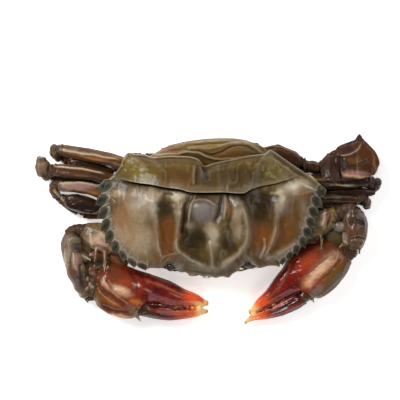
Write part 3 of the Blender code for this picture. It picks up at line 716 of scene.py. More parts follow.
class NodeSheet:
    """The node tree of one material, with one way to add any node."""

    def __init__(self, name: str) -> None:
        """Start an empty material.

        Args:
            name: Name of the material.
        """
        self.made = bpy.data.materials.new(name)
        self.made.use_nodes = True
        self.tree = self.made.node_tree
        self.tree.nodes.clear()

    def node(self, kind: str, settings: dict | None = None, inputs: dict | None = None,
             out: int | str | None = 0) -> Value | None:
        """Add a node.

        Args:
            kind: Blender's name for the type of node.
            settings: Its settings, which are set before its sockets.
            inputs: Numbers, colours or links for its sockets, by name or place.
            out: Name or place of the output that is wanted, or None where there is none.

        Returns:
            The wanted output.
        """
        node = self.tree.nodes.new(kind)
        for name, setting in (settings or {}).items():
            setattr(node, name, setting)
        for name, given in (inputs or {}).items():
            if isinstance(given, Value):
                self.tree.links.new(given.socket, node.inputs[name])
            else:
                node.inputs[name].default_value = given
        return None if out is None else Value(self, node.outputs[out])

    def finished(self, shader: Value) -> bpy.types.Material:
        """Put the shader on the surface and give the material."""
        self.node("ShaderNodeOutputMaterial", None, {"Surface": shader}, out=None)
        return self.made

    def mask(self, name: str) -> Value:
        """Read one of the mesh's masks."""
        return self.node("ShaderNodeAttribute", {"attribute_name": name}, out="Fac")

    def place(self) -> Value:
        """Give the place on the model, in millimetres."""
        place = self.node("ShaderNodeTexCoord", out="Object")
        return self.node("ShaderNodeVectorMath", {"operation": "MULTIPLY"}, {0: place, 1: (1 / MM,) * 3})

    def stretched(self, place: Value, stretch: Row, turn: float = 0.0) -> Value:
        """Stretch and turn a place, so that the noise on it runs one way."""
        given = {"Vector": place, "Rotation": (0.0, 0.0, turn), "Scale": tuple(1 / part for part in stretch)}
        return self.node("ShaderNodeMapping", None, given)

    def noise(self, place: Value, size: float, detail: float = 3.0, warp: float = 0.0) -> Value:
        """Read cloudy noise from 0 to 1, in blotches of a size in millimetres."""
        return self.node("ShaderNodeTexNoise", None,
                         {"Vector": place, "Scale": 1 / size, "Detail": detail, "Distortion": warp})

    def cells(self, place: Value, size: float) -> Value:
        """Read the distance inside cells of a size in millimetres."""
        return self.node("ShaderNodeTexVoronoi", None, {"Vector": place, "Scale": 1 / size}, out="Distance")

    def mix(self, share: Value | float, first: Value | Colour, second: Value | Colour) -> Value:
        """Mix two colours.

        Args:
            share: How much of the second one there is.
            first: A link or a screen colour.
            second: A link or a screen colour.

        Returns:
            The mixed colour.
        """
        colours = [given if isinstance(given, Value) else (*srgb(given), 1.0) for given in (first, second)]
        return self.node("ShaderNodeMix", {"data_type": "RGBA"}, {0: share, 6: colours[0], 7: colours[1]},
                         out=2)


@dataclass(frozen=True)
class Tint:
    """A mask of the mesh and the screen colour that it brings."""

    mask: str
    colour: Colour
    strength: float = 1.0
    uneven: float = 0.3


def tints(**rows: Row) -> tuple[Tint, ...]:
    """List tints by mask, in rows of red, green, blue, strength and unevenness if any."""
    return tuple(Tint(mask, row[:3], *row[3:]) for mask, row in rows.items())


@dataclass(frozen=True)
class Finish:
    """A wet, soft shell or skin: broad mottling, flecks, tints by mask, fine grain and a wet film."""

    name: str
    base: Colour
    mottle: Colour
    fleck: Colour
    tints: tuple[Tint, ...] = ()
    mottle_size: float = 3.2
    mottle_share: float = 0.6
    fleck_size: float = 0.55
    fleck_share: float = 0.35
    stretch: Point3 = (1.0, 1.0, 1.0)
    turn: float = 0.0
    roughness: float = 0.3
    roughness_spread: float = 0.16
    shine: float = 0.16
    film: float = 0.5
    film_roughness: float = 0.14
    grain: float = 0.02
    grain_size: float = 0.4
    glow: float = 0.0
    glow_spread: Point3 = (1.0, 0.35, 0.15)
    glow_reach: float = 1.2

    def material(self) -> bpy.types.Material:
        """Give the material, which is made the first time it is asked for."""
        return bpy.data.materials.get(self.name) or self._build()

    def _build(self) -> bpy.types.Material:
        """Make the material's nodes.

        Returns:
            The material.
        """
        sheet = NodeSheet(self.name)
        place = sheet.place()
        grained = sheet.stretched(place, self.stretch, self.turn)
        broad = sheet.noise(grained, self.mottle_size, 4.0, 0.6)
        middle = sheet.noise(grained, self.mottle_size * 0.31, 3.0, 0.3)
        small = sheet.noise(grained, self.fleck_size, 2.0)
        shade = (broad * 0.65 + middle * 0.35).step(0.36, 0.64) * self.mottle_share
        colour = sheet.mix(shade, self.base, self.mottle)
        flecks = (small + middle * 0.35).step(0.62, 0.78) * self.fleck_share
        colour = sheet.mix(flecks, colour, self.fleck)
        colour = self._tinted(sheet, colour, broad, middle)
        colour = sheet.mix(flecks * 0.3 * (1.0 - sheet.mask("tip")), colour, self.fleck)
        shader = sheet.node("ShaderNodeBsdfPrincipled", None, {
            "Base Color": colour,
            "Roughness": (self.roughness + (middle - 0.5) * self.roughness_spread
                          + sheet.mask("hollow") * 0.08).clipped(),
            "Coat Weight": ((1.0 - small.step(0.35, 0.8) * 0.5) * self.film).clipped(),
            "Coat Roughness": self.film_roughness,
            "Coat IOR": 1.36,
            "IOR": 1.45,
            "Specular IOR Level": self.shine,
            "Subsurface Weight": self.glow,
            "Subsurface Radius": self.glow_spread,
            "Subsurface Scale": self.glow_reach * MM,
            "Normal": self._grain(sheet, grained, middle),
        })
        return sheet.finished(shader)

    def _tinted(self, sheet: NodeSheet, colour: Value, broad: Value, middle: Value) -> Value:
        """Lay the tints over the mottled colour, each with an uneven edge.

        Args:
            sheet: Node tree of the material.
            colour: The mottled colour.
            broad: Noise that makes every second tint uneven.
            middle: Noise for the others.

        Returns:
            The tinted colour.
        """
        for number, tint in enumerate(self.tints):
            uneven = middle if number % 2 else broad
            share = sheet.mask(tint.mask) * tint.strength
            if tint.uneven:
                share = (share * (1.0 + (uneven - 0.5) * (4.0 * tint.uneven))).clipped()
            colour = sheet.mix(share.clipped(), colour, tint.colour)
        return colour

    def _grain(self, sheet: NodeSheet, place: Value, middle: Value) -> Value:
        """Give the normal of the fine grain: pits, leathery cells and faint wrinkles.

        Args:
            sheet: Node tree of the material.
            place: Place on the model.
            middle: Noise of the wrinkles.

        Returns:
            The normal.
        """
        pits = sheet.cells(place, self.grain_size)
        grit = sheet.noise(place, self.grain_size * 0.5, 2.0)
        height = pits.step(0.0, 0.5) * 0.6 + grit * 0.5 + middle * 0.8
        given = {"Strength": 0.55, "Distance": self.grain * MM * 3.0, "Height": height}
        return sheet.node("ShaderNodeBump", None, given, out="Normal")


# ---------------------------------------------------------------- carapace

SHELL_FOLDS = folds(ridges=((1.26, 1.6, 0.62, 0.31, (-7.6, 13.6), (-9.2, 11), (-10.2, 8.6), (-11.2, 3),
    (-12.3, -4.6), (-12, -7.8), (-10.4, -9.8), (-6.8, -12.3), (-4, -13.8), (2.4, -17.2)),
    (1.38, 1.8, 0.56, 0.43, (9, 12.6), (13, 10.6), (15.4, 4), (16, -2), (15.6, -4.6), (14, -8), (9, -13.2),
    (2.4, -17.2)), (1.03, 1.7, 0.53, 0.25, (-18.8, 14.6), (-20.8, 9), (-20.2, 2.4), (-19.6, -2),
    (-19.5, -7), (-17.8, -12.6)),
    (1.03, 1.6, 0.56, 0.28, (27.2, 14.6), (27.9, 7), (27.4, 1), (26.4, -3.6), (24.4, -8.6), (22.6, -11.4)),
    (0.92, 1.5, 0.53, 0.37, (22.8, -12.6), (27.2, -10.4), (32, -8), (37, -4.6)),
    (0.92, 1.5, 0.43, 0.28, (0.6, -4.6), (1.4, -8.4), (1.8, -11.6), (2.4, -16.6)),
    (0.34, 0.7, 0.22, 0.25, (-5, 25.6), (-5.3, 21), (-5.2, 17.2)),
    (0.34, 0.35, 0.56, 0.19, (-4.4, 14), (-6, 9.6), (-6.9, 5.6), (-7.4, 2)),
    (0.52, 0.5, 0.53, 0.22, (-7.4, 1), (-7.2, 4.4), (-6.9, 8.4), (-5.4, 10.8), (-2.8, 11.6), (0.6, 11),
    (4.8, 8.1)), (0.4, 0.5, 0.37, 0.37, (6.8, 13.8), (7.3, 9.6), (6.6, 3.2)),
    (0.57, 0.7, 0.5, 0.31, (22.6, -3.4), (22.8, -7.6), (20.8, -12.2)),
    (0.3, 0.5, 0.1, 0.25, (-19, -14), (-17.6, -11.8), (-14.8, -10.4), (-11, -10)),
    (0.34, 0.6, 0.22, 0.31, (2.4, -17.2), (-3, -16.6), (-9, -15.6)),
    (0.4, 0.9, 0.15, 0.43, (24.6, 14), (31, 14.6), (37, 17.2), (42.6, 18.6)),
    (0.2, 0.35, 0.35, 0.16, (24.6, 28.9), (30.2, 25), (36.6, 20.7), (42.4, 16.7))),
    creases=((-1.1, 1.3, 0.55, 0.5, (-6.2, 13.8), (-7.9, 9.6), (-8.7, 5), (-9, 0), (-8.4, -4)),
    (-0.9, 1.1, 0.6, 0.45, (6, 13.8), (5.6, 9.8), (4.6, 5.4), (2.2, 1.6)),
    (-0.4, 0.8, 0.35, 0.3, (8.6, 13.4), (9.2, 9.6), (9.6, 5.6), (8.4, 0.8), (10.6, -2.4)),
    (-0.45, 1.2, 0.4, 0.5, (-3.9, 26), (-4.3, 21), (-4.2, 16.6)),
    (-0.29, 0.4, 0.63, 0.15, (-44, 13.6), (-40.6, 13.2), (-38, 12.4), (-35.4, 10)),
    (-0.5, 0.5, 0.9, 0.2, (25.6, 29.6), (30.8, 26), (37, 21.8), (42.8, 17.8), (46.4, 14.8)),
    (-0.34, 0.5, 0.45, 0.25, (-17.4, 13.4), (-15.2, 13.9), (-13.4, 13.2)),
    (-0.34, 0.4, 0.45, 0.22, (-8.8, 12.9), (-8, 12.2), (-8.2, 11.2))))

SHELL_SWELLINGS = swellings((-1.2, 7.4, 6, 4.8, 2.2), (-5.4, -4.6, 5, 6.2, -1.9), (8, -5.5, 6.4, 8, 0.9),
    (-30, 4, 9.5, 13, 1.2), (34, 5, 7.5, 11, 1.2), (-15.8, 1, 3.6, 12, -1.9), (21.4, 3, 4.2, 11, -1.9),
    (-31.6, 26, 4, 4, 0.8), (2, -6, 3, 7, 0.9), (9, -6.4, 2.6, 3.6, -1.1), (12.6, 5, 2.4, 6.4, 0.9),
    (-23, 10, 2.6, 5, 0.8), (-27, -6, 5, 6, 0.8), (30, 12, 2.6, 5, 0.9), (-34, 2, 3, 6, -0.6),
    (30, -2, 2.8, 6, -0.6))

# The sheen patches are painted highlights, the pale patches are partly the shell's tan and partly painted
# highlight, and the dark patches are partly the shell's dark olive and partly painted shade in the valleys.
SHELL_MARKS = patches(warm=((-16, -2.6, 4.2, 6.6, 0.95), (-15.4, -11, 5.6, 2.8, 0.7),
    (22, -4, 4.8, 5.6, 0.95), (30.6, -4.4, 4.4, 5.6, 0.6), (33.4, 3.4, 4.4, 7.4, 0.5),
    (8.4, 8, 1.1, 2.8, 0.7), (-33.5, 5, 3.6, 6.4, 0.55), (-31, -3.6, 4.6, 5.6, 0.3),
    (-9.6, 3.4, 1, 7, 0.55), (-12, 21, 8, 3.4, 0.3), (38.6, 14, 3, 2.2, 0.5), (-24, -13.4, 4, 1.8, 0.4),
    (18, 1.6, 1.6, 3.4, 0.6)), dark=((-17, 7.8, 3.9, 4.6, 0.85), (21.2, 8.8, 5.8, 6.2),
    (-6.4, -4.6, 4.4, 6, 1, 20), (9.6, 14, 6.4, 1.8, 0.9, -8), (-4.4, -12.6, 4, 2.2, 0.6, -30),
    (-9.2, 5, 1.3, 8.6, 0.75), (-2.6, 13.6, 4.6, 1.6, 0.9), (-1.6, 21, 2.6, 5.4, 0.7),
    (-33.4, 17.8, 7.4, 1.9, 0.7), (-22.8, 17, 5.6, 1.6, 0.6), (8.8, -7, 2.6, 4, 0.8, 20),
    (12, 21, 14, 4.6, 0.6), (4.6, 9, 1, 4.6, 0.9, -14), (27, -13.6, 5, 1.4, 0.6, 12),
    (17.8, 12.2, 9, 2.2, 0.9), (-2, -3.4, 3.6, 2, 0.6), (-13, 21.6, 9, 3, 0.35), (1.6, -17.6, 12, 1, 0.5)),
    pale=((-28, 9, 6.6, 6.6, 0.7), (-22, 11.4, 2.8, 4.6, 0.85), (-19.4, 14.8, 5, 1.3, 0.7),
    (-11.6, 13.4, 4.2, 2.2), (35.4, 16.4, 6, 2.4, 1, 22), (29.2, 11, 2, 4.6), (11.8, 5, 2.2, 5.6, 0.6, 8),
    (2.4, -3.6, 2.6, 6.2, 0.85, 8), (10.6, -11, 6.4, 1.4, 0.85, 40), (-27, -5.4, 7.4, 7.6, 0.95),
    (31.4, -9.6, 7.8, 1.9, 0.85, 27), (-2, -15.6, 8, 1.4, 0.4, -14), (-35, -1, 3.6, 7, 0.7),
    (-12.4, 8.4, 1.2, 5.6, 0.9), (-36.6, 13.6, 4.8, 1.2, 0.6), (38.6, 4, 2.2, 8.6, 0.6),
    (12.6, -1.6, 2.8, 2.6, 0.6), (-6.8, 1, 1.8, 1.2, 0.8)), sheen=((33.8, 17.4, 3.4, 1.5, 0.85, 12),
    (40.4, 16.2, 2.8, 0.6, 0.6, -28), (-25.6, 10.8, 3.8, 1.2, 0.45, 38), (-11, 13.2, 2.4, 0.8, 0.4),
    (10.8, 11.2, 2.2, 0.6, 0.5, -48), (2.8, -1.8, 3.2, 1.6, 0.3), (-21.4, 8, 1.4, 4, 0.3),
    (29.6, 12, 1.2, 4.4, 0.45, 4)), dusk=((-1.2, 6.8, 5.4, 4.6), (-12.6, -15.4, 3, 1.8, 0.9),
    (15.6, -15.4, 3, 1.8, 0.8), (6.4, 9, 0.8, 3, 0.6), (-25, 10.6, 5, 3.4, 0.5), (22, -9.6, 1.8, 2.4, 0.45),
    (30.4, 8.2, 3.2, 3, 0.5), (17.8, -0.6, 1.4, 4.6, 0.3)), gold=((-4, -10.4, 3.6, 2.4, 0.6, -35),
    (-24.6, 22.4, 6.4, 3, 0.8), (27, 22.6, 7.4, 4.2, 0.75), (-30.6, 24.6, 4.4, 4.2, 0.7),
    (9.6, -9.4, 3.6, 2, 0.4, 40), (-24.6, -12, 3.6, 1.8, 0.8), (-9, 24.6, 6, 2.4, 0.35),
    (13.6, 24.6, 6, 2, 0.35), (36.4, 9, 1.6, 4.6, 0.35)), moss=((23, 30.2, 4.6, 1.7, 0.9, 8),
    (-41, 17, 2, 3, 0.8), (-37.4, 21, 2.4, 1.4, 0.6), (42, 16.4, 3, 1.6, 0.6, 20)))


@dataclass
class Carapace:
    """The dorsal shell: a low toothed dome with the folds of a newly moulted crab."""

    finish: Finish
    spacing: float = 0.3
    under_spacing: float = 1.4
    dome_top: float = 25.7
    centre: Point2 = (1.0, 5.0)
    rim_side: float = 14.7
    rim_front: float = 15.4
    rim_rear: float = 18.6
    rim_thick: float = 1.2
    rim_round: float = 0.9
    rim_drop: float = 0.55
    dome_power: float = 2.6
    dome_blur: float = 14.0
    under_level: float = 12.6
    tooth_count: int = 9
    tooth_reach: float = 3.05
    tooth_tip: float = 0.78
    tooth_hook: float = 0.55
    leaf_depth: float = 1.9
    tooth_shrink: float = 0.5
    fold_rise: float = 1.9
    fold_drop: float = 0.9
    fold_lap: float = 0.95
    on_line: float = 0.02
    fold_fade: float = 0.6
    right_margin: tuple[Point2, ...] = (
        (-39.4, 19.6), (-41.6, 14.5), (-41.9, 9), (-40.8, 2.4), (-38.5, -4.4), (-34.4, -10.2),
        (-29.2, -14.2), (-23.6, -15.9))
    left_margin: tuple[Point2, ...] = (
        (29.2, -14.2), (35, -9.4), (39.2, -4.3), (41.6, 1.6), (43.4, 8), (45.2, 13.6), (47.2, 15.9))
    front_margin: tuple[Point2, ...] = (
        (-22.4, -15.8), (-18.8, -15.9), (-17, -15), (-14.6, -14.6), (-12.6, -15.4), (-11.2, -17.4),
        (-8.6, -17.6), (-6.8, -18.5), (-4.4, -18.2), (-1.8, -19.2), (0.8, -19), (3.4, -19.8), (6, -19.3),
        (8.6, -19.7), (10.2, -18.2), (12.6, -16.8), (14, -14.9), (16.4, -14.2), (19, -14.8), (20.8, -15.9),
        (24.6, -15), (27.6, -15), (28.8, -15.6))
    rear_margin: tuple[Point2, ...] = (
        (43.2, 19.3), (37.2, 23.4), (31.2, 27.4), (25.4, 31.2), (23, 29.8), (16, 28.9), (9, 27.4),
        (3.2, 26.2), (-0.6, 25), (-1.8, 25.6), (-3.2, 27.4), (-7, 28.6), (-14.6, 28.9), (-21, 28.4),
        (-25, 29.4), (-28.6, 29.6), (-31.4, 30.2), (-33.4, 28), (-34.8, 24.4), (-37.4, 21.2))
    cross_fold: tuple[Point2, ...] = (
        (-37.6, 20), (-30.8, 19.3), (-22.8, 18.5), (-16.8, 17.3), (-10.8, 16.5), (-6.8, 15.4), (-0.8, 15.2),
        (6.4, 15.3), (14, 14.9), (17.2, 16.4), (21.2, 17.7), (25.2, 18.5), (33.2, 20.1), (38, 21.6))
    folds: tuple[Fold, ...] = SHELL_FOLDS
    swellings: tuple[Swelling, ...] = SHELL_SWELLINGS
    markings: tuple[Patch, ...] = SHELL_MARKS

    def margin(self, side: Side) -> tuple[Point2, ...]:
        """Give the toothed margin of one side, without its teeth."""
        return self.right_margin if side is Side.RIGHT else self.left_margin

    def tooth_ends(self, side: Side) -> Array:
        """Give where the teeth of one margin begin and end, as shares of its length."""
        return np.linspace(0.0, 1.0, self.tooth_count + 1) ** (0.9 if side is Side.RIGHT else 1.11)

    def tooth_profile(self, share: Array) -> Array:
        """Give how far a tooth stands out.

        Args:
            share: Places from the rear notch at 0 to the front notch at 1.

        Returns:
            Shares of the full reach.
        """
        back = np.clip(share / self.tooth_tip, 0.0, 1.0)
        front = np.clip((1.0 - share) / (1.0 - self.tooth_tip), 0.0, 1.0)
        bulge = 0.76 * np.sin(back * math.pi / 2) ** 0.5 + 0.24 * back ** 5
        return np.where(share < self.tooth_tip, bulge, front ** 0.8)

    def tooth_size(self, side: Side, place: Array | float) -> Array | float:
        """Make the teeth smaller towards the brow."""
        ahead = place if side is Side.RIGHT else 1.0 - place
        return 1.0 - self.tooth_shrink * ramp(ahead, 0.45, 0.95)

    def toothed(self, side: Side, steps: int = 26) -> Array:
        """Set the row of forward-leaning teeth on one side margin.

        Args:
            side: Side of the crab.
            steps: Points for each tooth.

        Returns:
            The toothed margin, counter-clockwise on the plan.
        """
        line = smooth_rows(self.margin(side), 14)
        lengths = lengths_along(line)
        share = np.arange(steps) / steps
        reach = self.tooth_profile(share if side is Side.RIGHT else 1.0 - share)
        hook = reach ** 4 * self.tooth_hook * -side.hand
        ends = self.tooth_ends(side)
        found = []
        for start, end in zip(ends, ends[1:]):
            small = min(1.0, 2.2 * (end - start) * self.tooth_count / 2.4)
            out = reach * self.tooth_reach * small * self.tooth_size(side, (start + end) / 2)
            where = (start + (end - start) * share) * lengths[-1]
            ahead = np.minimum(where + 0.5, lengths[-1])
            way = unit(read_rows_at(ahead, lengths, line) - read_rows_at(ahead - 1.0, lengths, line))
            outward = np.stack([way[:, 1], -way[:, 0]], axis=1)
            found.append(read_rows_at(where, lengths, line) + outward * out[:, None] + way * hook[:, None])
        return np.vstack(found)

    def outline(self) -> Array:
        """Give the whole margin on the plan, counter-clockwise.

        Returns:
            The points of the margin.
        """
        front = smooth_rows(self.front_margin, 5)
        rear = smooth_rows((self.left_margin[-1],) + self.rear_margin, 5)
        return np.vstack([self.toothed(Side.RIGHT), front, self.toothed(Side.LEFT), rear])

    def edge_share(self, points: Array) -> Array:
        """Say how far each point lies from the dome's middle towards the margin without its teeth.

        Args:
            points: Places on the plan.

        Returns:
            Shares from 0 to 1.
        """
        outline = np.vstack([smooth_rows(self.right_margin, 6), np.array(self.front_margin),
                             smooth_rows(self.left_margin, 6), np.array(self.rear_margin)])
        x, y = (outline - np.array(self.centre)).T
        order = np.argsort(np.arctan2(y, x))
        bearings, reach = np.arctan2(y, x)[order], np.hypot(x, y)[order]
        x, y = (points - np.array(self.centre)).T
        bearing, far = np.arctan2(y, x), np.hypot(x, y)
        limit = np.interp(bearing, bearings, reach, period=2 * math.pi)
        even = np.linspace(-math.pi, math.pi, 360, endpoint=False)
        broad = np.interp(even, bearings, reach, period=2 * math.pi)
        weight = bell(np.arange(-40, 41), self.dome_blur)
        broad = np.convolve(np.concatenate([broad[-40:], broad, broad[:40]]), weight / weight.sum(), "valid")
        soft = np.interp(bearing, even, broad, period=2 * math.pi)
        near = ramp(far / limit, 0.62, 1.0)
        return np.clip(far / limit * near + far / soft * (1.0 - near), 0.0, 1.0)

    def rim_level(self, points: Array) -> Array:
        """Give the level of the margin: higher behind, lowest at the sides.

        Args:
            points: Places on the plan.

        Returns:
            The level under each point.
        """
        rear = 1.0 / (1.0 + np.exp(-(points[:, 1] - 23.0) / 2.2))
        front = 1.0 / (1.0 + np.exp((points[:, 1] + 12.0) / 2.0))
        inner = np.clip(1.0 - (np.abs(points[:, 0]) / 44.0) ** 3, 0.0, 1.0)
        return (self.rim_side + (self.rim_rear - self.rim_side) * rear * inner
                + (self.rim_front - self.rim_side) * front * inner)

    def shape(self, points: Array, rim: Array) -> tuple[Array, Masks]:
        """Work out the upper surface and its markings.

        Args:
            points: Places on the plan.
            rim: Each point's distance from the margin.

        Returns:
            The height of each point, and the masks of the markings.
        """
        share = self.edge_share(points)
        level = self.rim_level(points)
        height = level + (self.dome_top - level) * (1.0 - share ** self.dome_power)
        inside = np.clip((1.0 - share) * 6.0, 0.0, 1.0)
        space = np.column_stack([points, np.zeros(len(points))])
        wander = Noise(2.6, 11, 2).wander(space, 0.5, 57.0)
        masks = paint_patches(self.markings, points, wander * 3.4)
        patchy = ramp(Noise(3.6, 44, 2).at(points), -0.65, 0.3)
        for fold in self.folds:
            height += fold.draw(points + 0.35 * wander, masks, np.maximum(inside, 0.3), (7.0, 8.0),
                                0.8 + 0.5 * patchy, patchy)
        for hump in self.swellings:
            height += hump.height(points) * np.clip((1.0 - share) * 4.0, 0.25, 1.0)
        height += self._cross_fold(points, inside, masks)
        for side in Side:
            height += self._teeth(side, points, masks)
        height += self._rear_rim(points, rim, masks) + self._wrinkles(points, inside, masks)
        rounding = np.clip(1.0 - rim / self.rim_round, 0.0, 1.0)
        return height - self.rim_drop * (1.0 - np.sqrt(1.0 - rounding ** 2)), masks

    def _cross_fold(self, points: Array, inside: Array, masks: Masks) -> Array:
        """Lift the rear band over the front part, with a painted highlight on its lip, a painted shadow in
        the gap under it and painted shade on the front part below.

        Args:
            points: Places on the plan.
            inside: How far each point is clear of the margin, up to 1.
            masks: Masks of the markings, which are raised.

        Returns:
            The height that is added.
        """
        distance, side, place = curve_offsets(points, self.cross_fold, 22.0)
        fade = fade_ends(place) * inside * (1.0 - self.fold_fade * ramp(points[:, 0], 11.0, 22.0))
        behind = (side > 0) | (distance < self.on_line)
        patchy = 0.5 + 0.5 * Noise(4.0, 43, 2).at(points)
        gap = ~behind * bell(np.maximum(distance - 1.1, 0), 0.7) * fade
        # Painted highlight on the lip, painted shadow in the gap, and painted shade over the front part under
        # the lip.
        raise_mask(masks, "line", behind * bell(distance, 0.24) * fade * (0.3 + 0.7 * patchy))
        raise_mask(masks, "crease", gap * (0.4 + 0.6 * ramp(points[:, 0], 14.0, 6.0)))
        raise_mask(masks, "dark", 0.8 * ~behind * bell(distance, 3.0) * fade)
        rear = self.fold_rise * bell(distance, 9.0) + 0.2 * bell(distance - 0.2, 0.5)
        return np.where(behind, rear, -self.fold_drop * (bell(distance, 4.0) + bell(distance, 1.2))) * fade

    def _teeth(self, side: Side, points: Array, masks: Masks) -> Array:
        """Sink a dark leaf in each tooth, with pale streaks between the teeth and a thin pale edge.

        Args:
            side: Side of the crab.
            points: Places on the plan.
            masks: Masks of the markings, which are raised.

        Returns:
            The height that is added.
        """
        distance, hand, place = curve_offsets(points, self.margin(side), 6.0)
        ends = self.tooth_ends(side)
        widths = np.diff(ends)
        phase = np.interp(place, ends, np.arange(len(ends))) % 1.0
        width = np.interp(place, ends, np.append(widths, widths[-1])) * self.tooth_count
        outward = -hand * distance
        lean = (phase if side is Side.RIGHT else 1.0 - phase) - 0.07 * outward
        near = (distance < 5.5) & (place > 0.004) & (place < 0.996)
        scallop = np.sin(np.clip((lean - 0.02) / 0.96, 0.0, 1.0) * math.pi) ** 0.7
        rough = Noise(1.6, 41, 2).at(points)
        size = np.clip(width, 0.6, 1.1) * self.tooth_size(side, place)
        inner = outward + 0.7 + self.leaf_depth * scallop * size + 0.4 * rough
        border = np.minimum(lean, 1.0 - lean) + 0.03 * rough
        leaf = ramp(inner, -0.25, 0.6) * ramp(border, 0.0, 0.1)
        worn = near * leaf * np.clip(0.85 + 0.35 * Noise(2.2, 46, 2).at(points), 0, 1)
        streak = bell(border, 0.045) * ramp(outward, -3.8, -1.6) * ramp(outward, 2.4, 0.6)
        edge = bell(inner + 0.1, 0.3) * np.clip(0.5 + 0.9 * rough, 0.0, 1.0)
        raise_mask(masks, "tooth", worn)
        raise_mask(masks, "heart", worn * bell(lean - 0.5 + 0.1 * rough, 0.16) * ramp(inner, 0.5, 1.5))
        raise_mask(masks, "tooth_rim", near * np.maximum(edge * 0.8, streak * 0.85))
        raise_mask(masks, "dusk", 0.35 * near * ramp(outward, -4.6, -2.2))
        return near * (0.3 * bell(inner + 0.15, 0.5) + 0.3 * streak - 0.35 * leaf * ramp(inner, 0.0, 1.4))

    def _rear_rim(self, points: Array, rim: Array, masks: Masks) -> Array:
        """Raise a pale bead along the rear margin, with a groove in front of it.

        Args:
            points: Places on the plan.
            rim: Each point's distance from the margin.
            masks: Masks of the markings, which are raised.

        Returns:
            The height that is added.
        """
        behind = ramp(points[:, 1], 17.0, 20.0)
        patchy = ramp(Noise(4.0, 47, 2).at(points), -0.7, 0.5)
        strong = 0.4 + 0.6 * ramp(points[:, 0], -34.5, -31.0) * ramp(points[:, 0], 4.0, 1.0)
        front = ramp(points[:, 1], -9.0, -12.0) * (1.0 - masks["tooth"])
        raise_mask(masks, "line", behind * bell(rim - 0.14, 0.18) * strong * (0.4 + 0.6 * patchy))
        raise_mask(masks, "line", front * bell(rim - 0.15, 0.25) * 0.3)
        # The groove in front of the bead is darkened as painted shade.
        raise_mask(masks, "crease", behind * bell(rim - 0.9, 0.3) * 0.3)
        bead = 0.22 * bell(rim - 0.25, 0.3) - 0.15 * bell(rim - 1.0, 0.4)
        return behind * bead + front * 0.2 * bell(rim, 0.6)

    def _wrinkles(self, points: Array, inside: Array, masks: Masks) -> Array:
        """Give the soft dents, nodules and fine wrinkles of the shell.

        Args:
            points: Places on the plan.
            inside: How far each point is clear of the margin, up to 1.
            masks: Masks of the markings, to which the nodules are added.

        Returns:
            The height that is added.
        """
        dents = 0.85 * Noise(10.0, 3, 2).at(points) + 0.2 * Noise(4.4, 5, 1).at(points, (0.8, 1.4, 1.0))
        wrinkle = 0.12 * bell(Noise(5.2, 8, 2).at(points, (0.8, 1.5, 1.0)), 0.12)
        rear = ramp(points[:, 1], 15.0, 20.0) * (np.abs(points[:, 0]) > 15.0)
        nodules = np.clip(masks["gold"] * rear, 0, 1)
        lumps = np.clip(Noise(1.3, 21, 2).at(points), 0.0, 1.0) ** 1.3
        masks["knob"] = nodules * ramp(lumps, 0.1, 0.5)
        return (dents + wrinkle) * inside + 0.75 * nodules * lumps + 0.015 * Noise(0.9, 13, 2).at(points)

    def lap(self, points: Array, height: Array) -> Array:
        """Push the lip of the rear band forward over the gap.

        Args:
            points: Places on the plan.
            height: Height of each point.

        Returns:
            The moved points, with their heights.
        """
        distance, side, place = curve_offsets(points, self.cross_fold, 4.0)
        behind = (side > 0) | (distance < self.on_line)
        push = np.where(behind, self.fold_lap * bell(distance, 0.9), -0.35 * bell(distance, 0.7))
        return np.column_stack([points[:, 0], points[:, 1] - push * fade_ends(place), height])

    def build(self) -> bpy.types.Object:
        """Build the shell.

        Returns:
            The new piece.
        """
        outline = self.outline()
        after = np.roll(outline, -1, axis=0)
        dense = np.vstack([outline + (after - outline) * t for t in (0.0, 0.25, 0.5, 0.75)])
        fold = even_steps(smooth_rows(self.cross_fold, 6), self.spacing)
        flat, faces = fill_outline(outline, self.spacing, [fold])
        height, masks = self.shape(flat, gaps_to(flat, dense))
        upper = Surface(self.lap(flat, height), faces, masks | {"under": np.zeros(len(flat))})
        flat, faces = fill_outline(outline, self.under_spacing, [])
        rise = np.clip((self.edge_share(flat) - 0.72) / 0.28, 0.0, 1.0) ** 1.3
        floor = self.under_level + (self.rim_level(flat) - self.rim_thick - self.under_level) * rise
        bare = {name: np.zeros(len(flat)) for name in masks} | {"under": np.ones(len(flat))}
        lower = Surface(np.column_stack([flat, floor]), [face[::-1] for face in faces], bare)
        shell = Surface.joined([upper, lower])
        shift, count = len(upper.points), len(outline)
        shell.faces += [[i, i + shift, (i + 1) % count + shift, (i + 1) % count] for i in range(count)]
        shell.points = shell.points + PLAN_SHIFT
        shell.shade_relief(0.06, 6)
        return shell.to_piece("shell_carapace", self.finish, Slot.SHELL, ["carapace"], 55.0)


def even_steps(line: Array, spacing: float) -> Array:
    """Set points close together along a line, keeping its corners.

    Args:
        line: Corners of the line on the plan.
        spacing: Distance between the points.

    Returns:
        The points.
    """
    rows = []
    for start, end in zip(line, line[1:]):
        count = max(1, round(math.hypot(*(end - start)) / spacing))
        rows.append(start + (end - start) * (np.arange(count) / count)[:, None])
    return np.vstack(rows + [line[-1:]])


def inside_outline(points: Array, outline: Array) -> Array:
    """Tell which points on the plan lie within a closed outline.

    Args:
        points: Places on the plan.
        outline: Corners of the outline.

    Returns:
        True for each point inside.
    """
    inside = np.zeros(len(points), bool)
    x, y = points.T
    for start, end in zip(outline, np.roll(outline, -1, axis=0)):
        crosses = (start[1] > y) != (end[1] > y)
        rise = end[1] - start[1] or 1.0
        inside ^= crosses & (x < start[0] + (y - start[1]) * (end[0] - start[0]) / rise)
    return inside


def gaps_to(points: Array, others: Array) -> Array:
    """Give each point's distance on the plan from the nearest of some others.

    Args:
        points: Places on the plan.
        others: The other places.

    Returns:
        One distance for each point.
    """
    tree = KDTree(len(others))
    for index, (x, y) in enumerate(others):
        tree.insert((x, y, 0.0), index)
    tree.balance()
    return np.array([tree.find((x, y, 0.0))[2] for x, y in points])


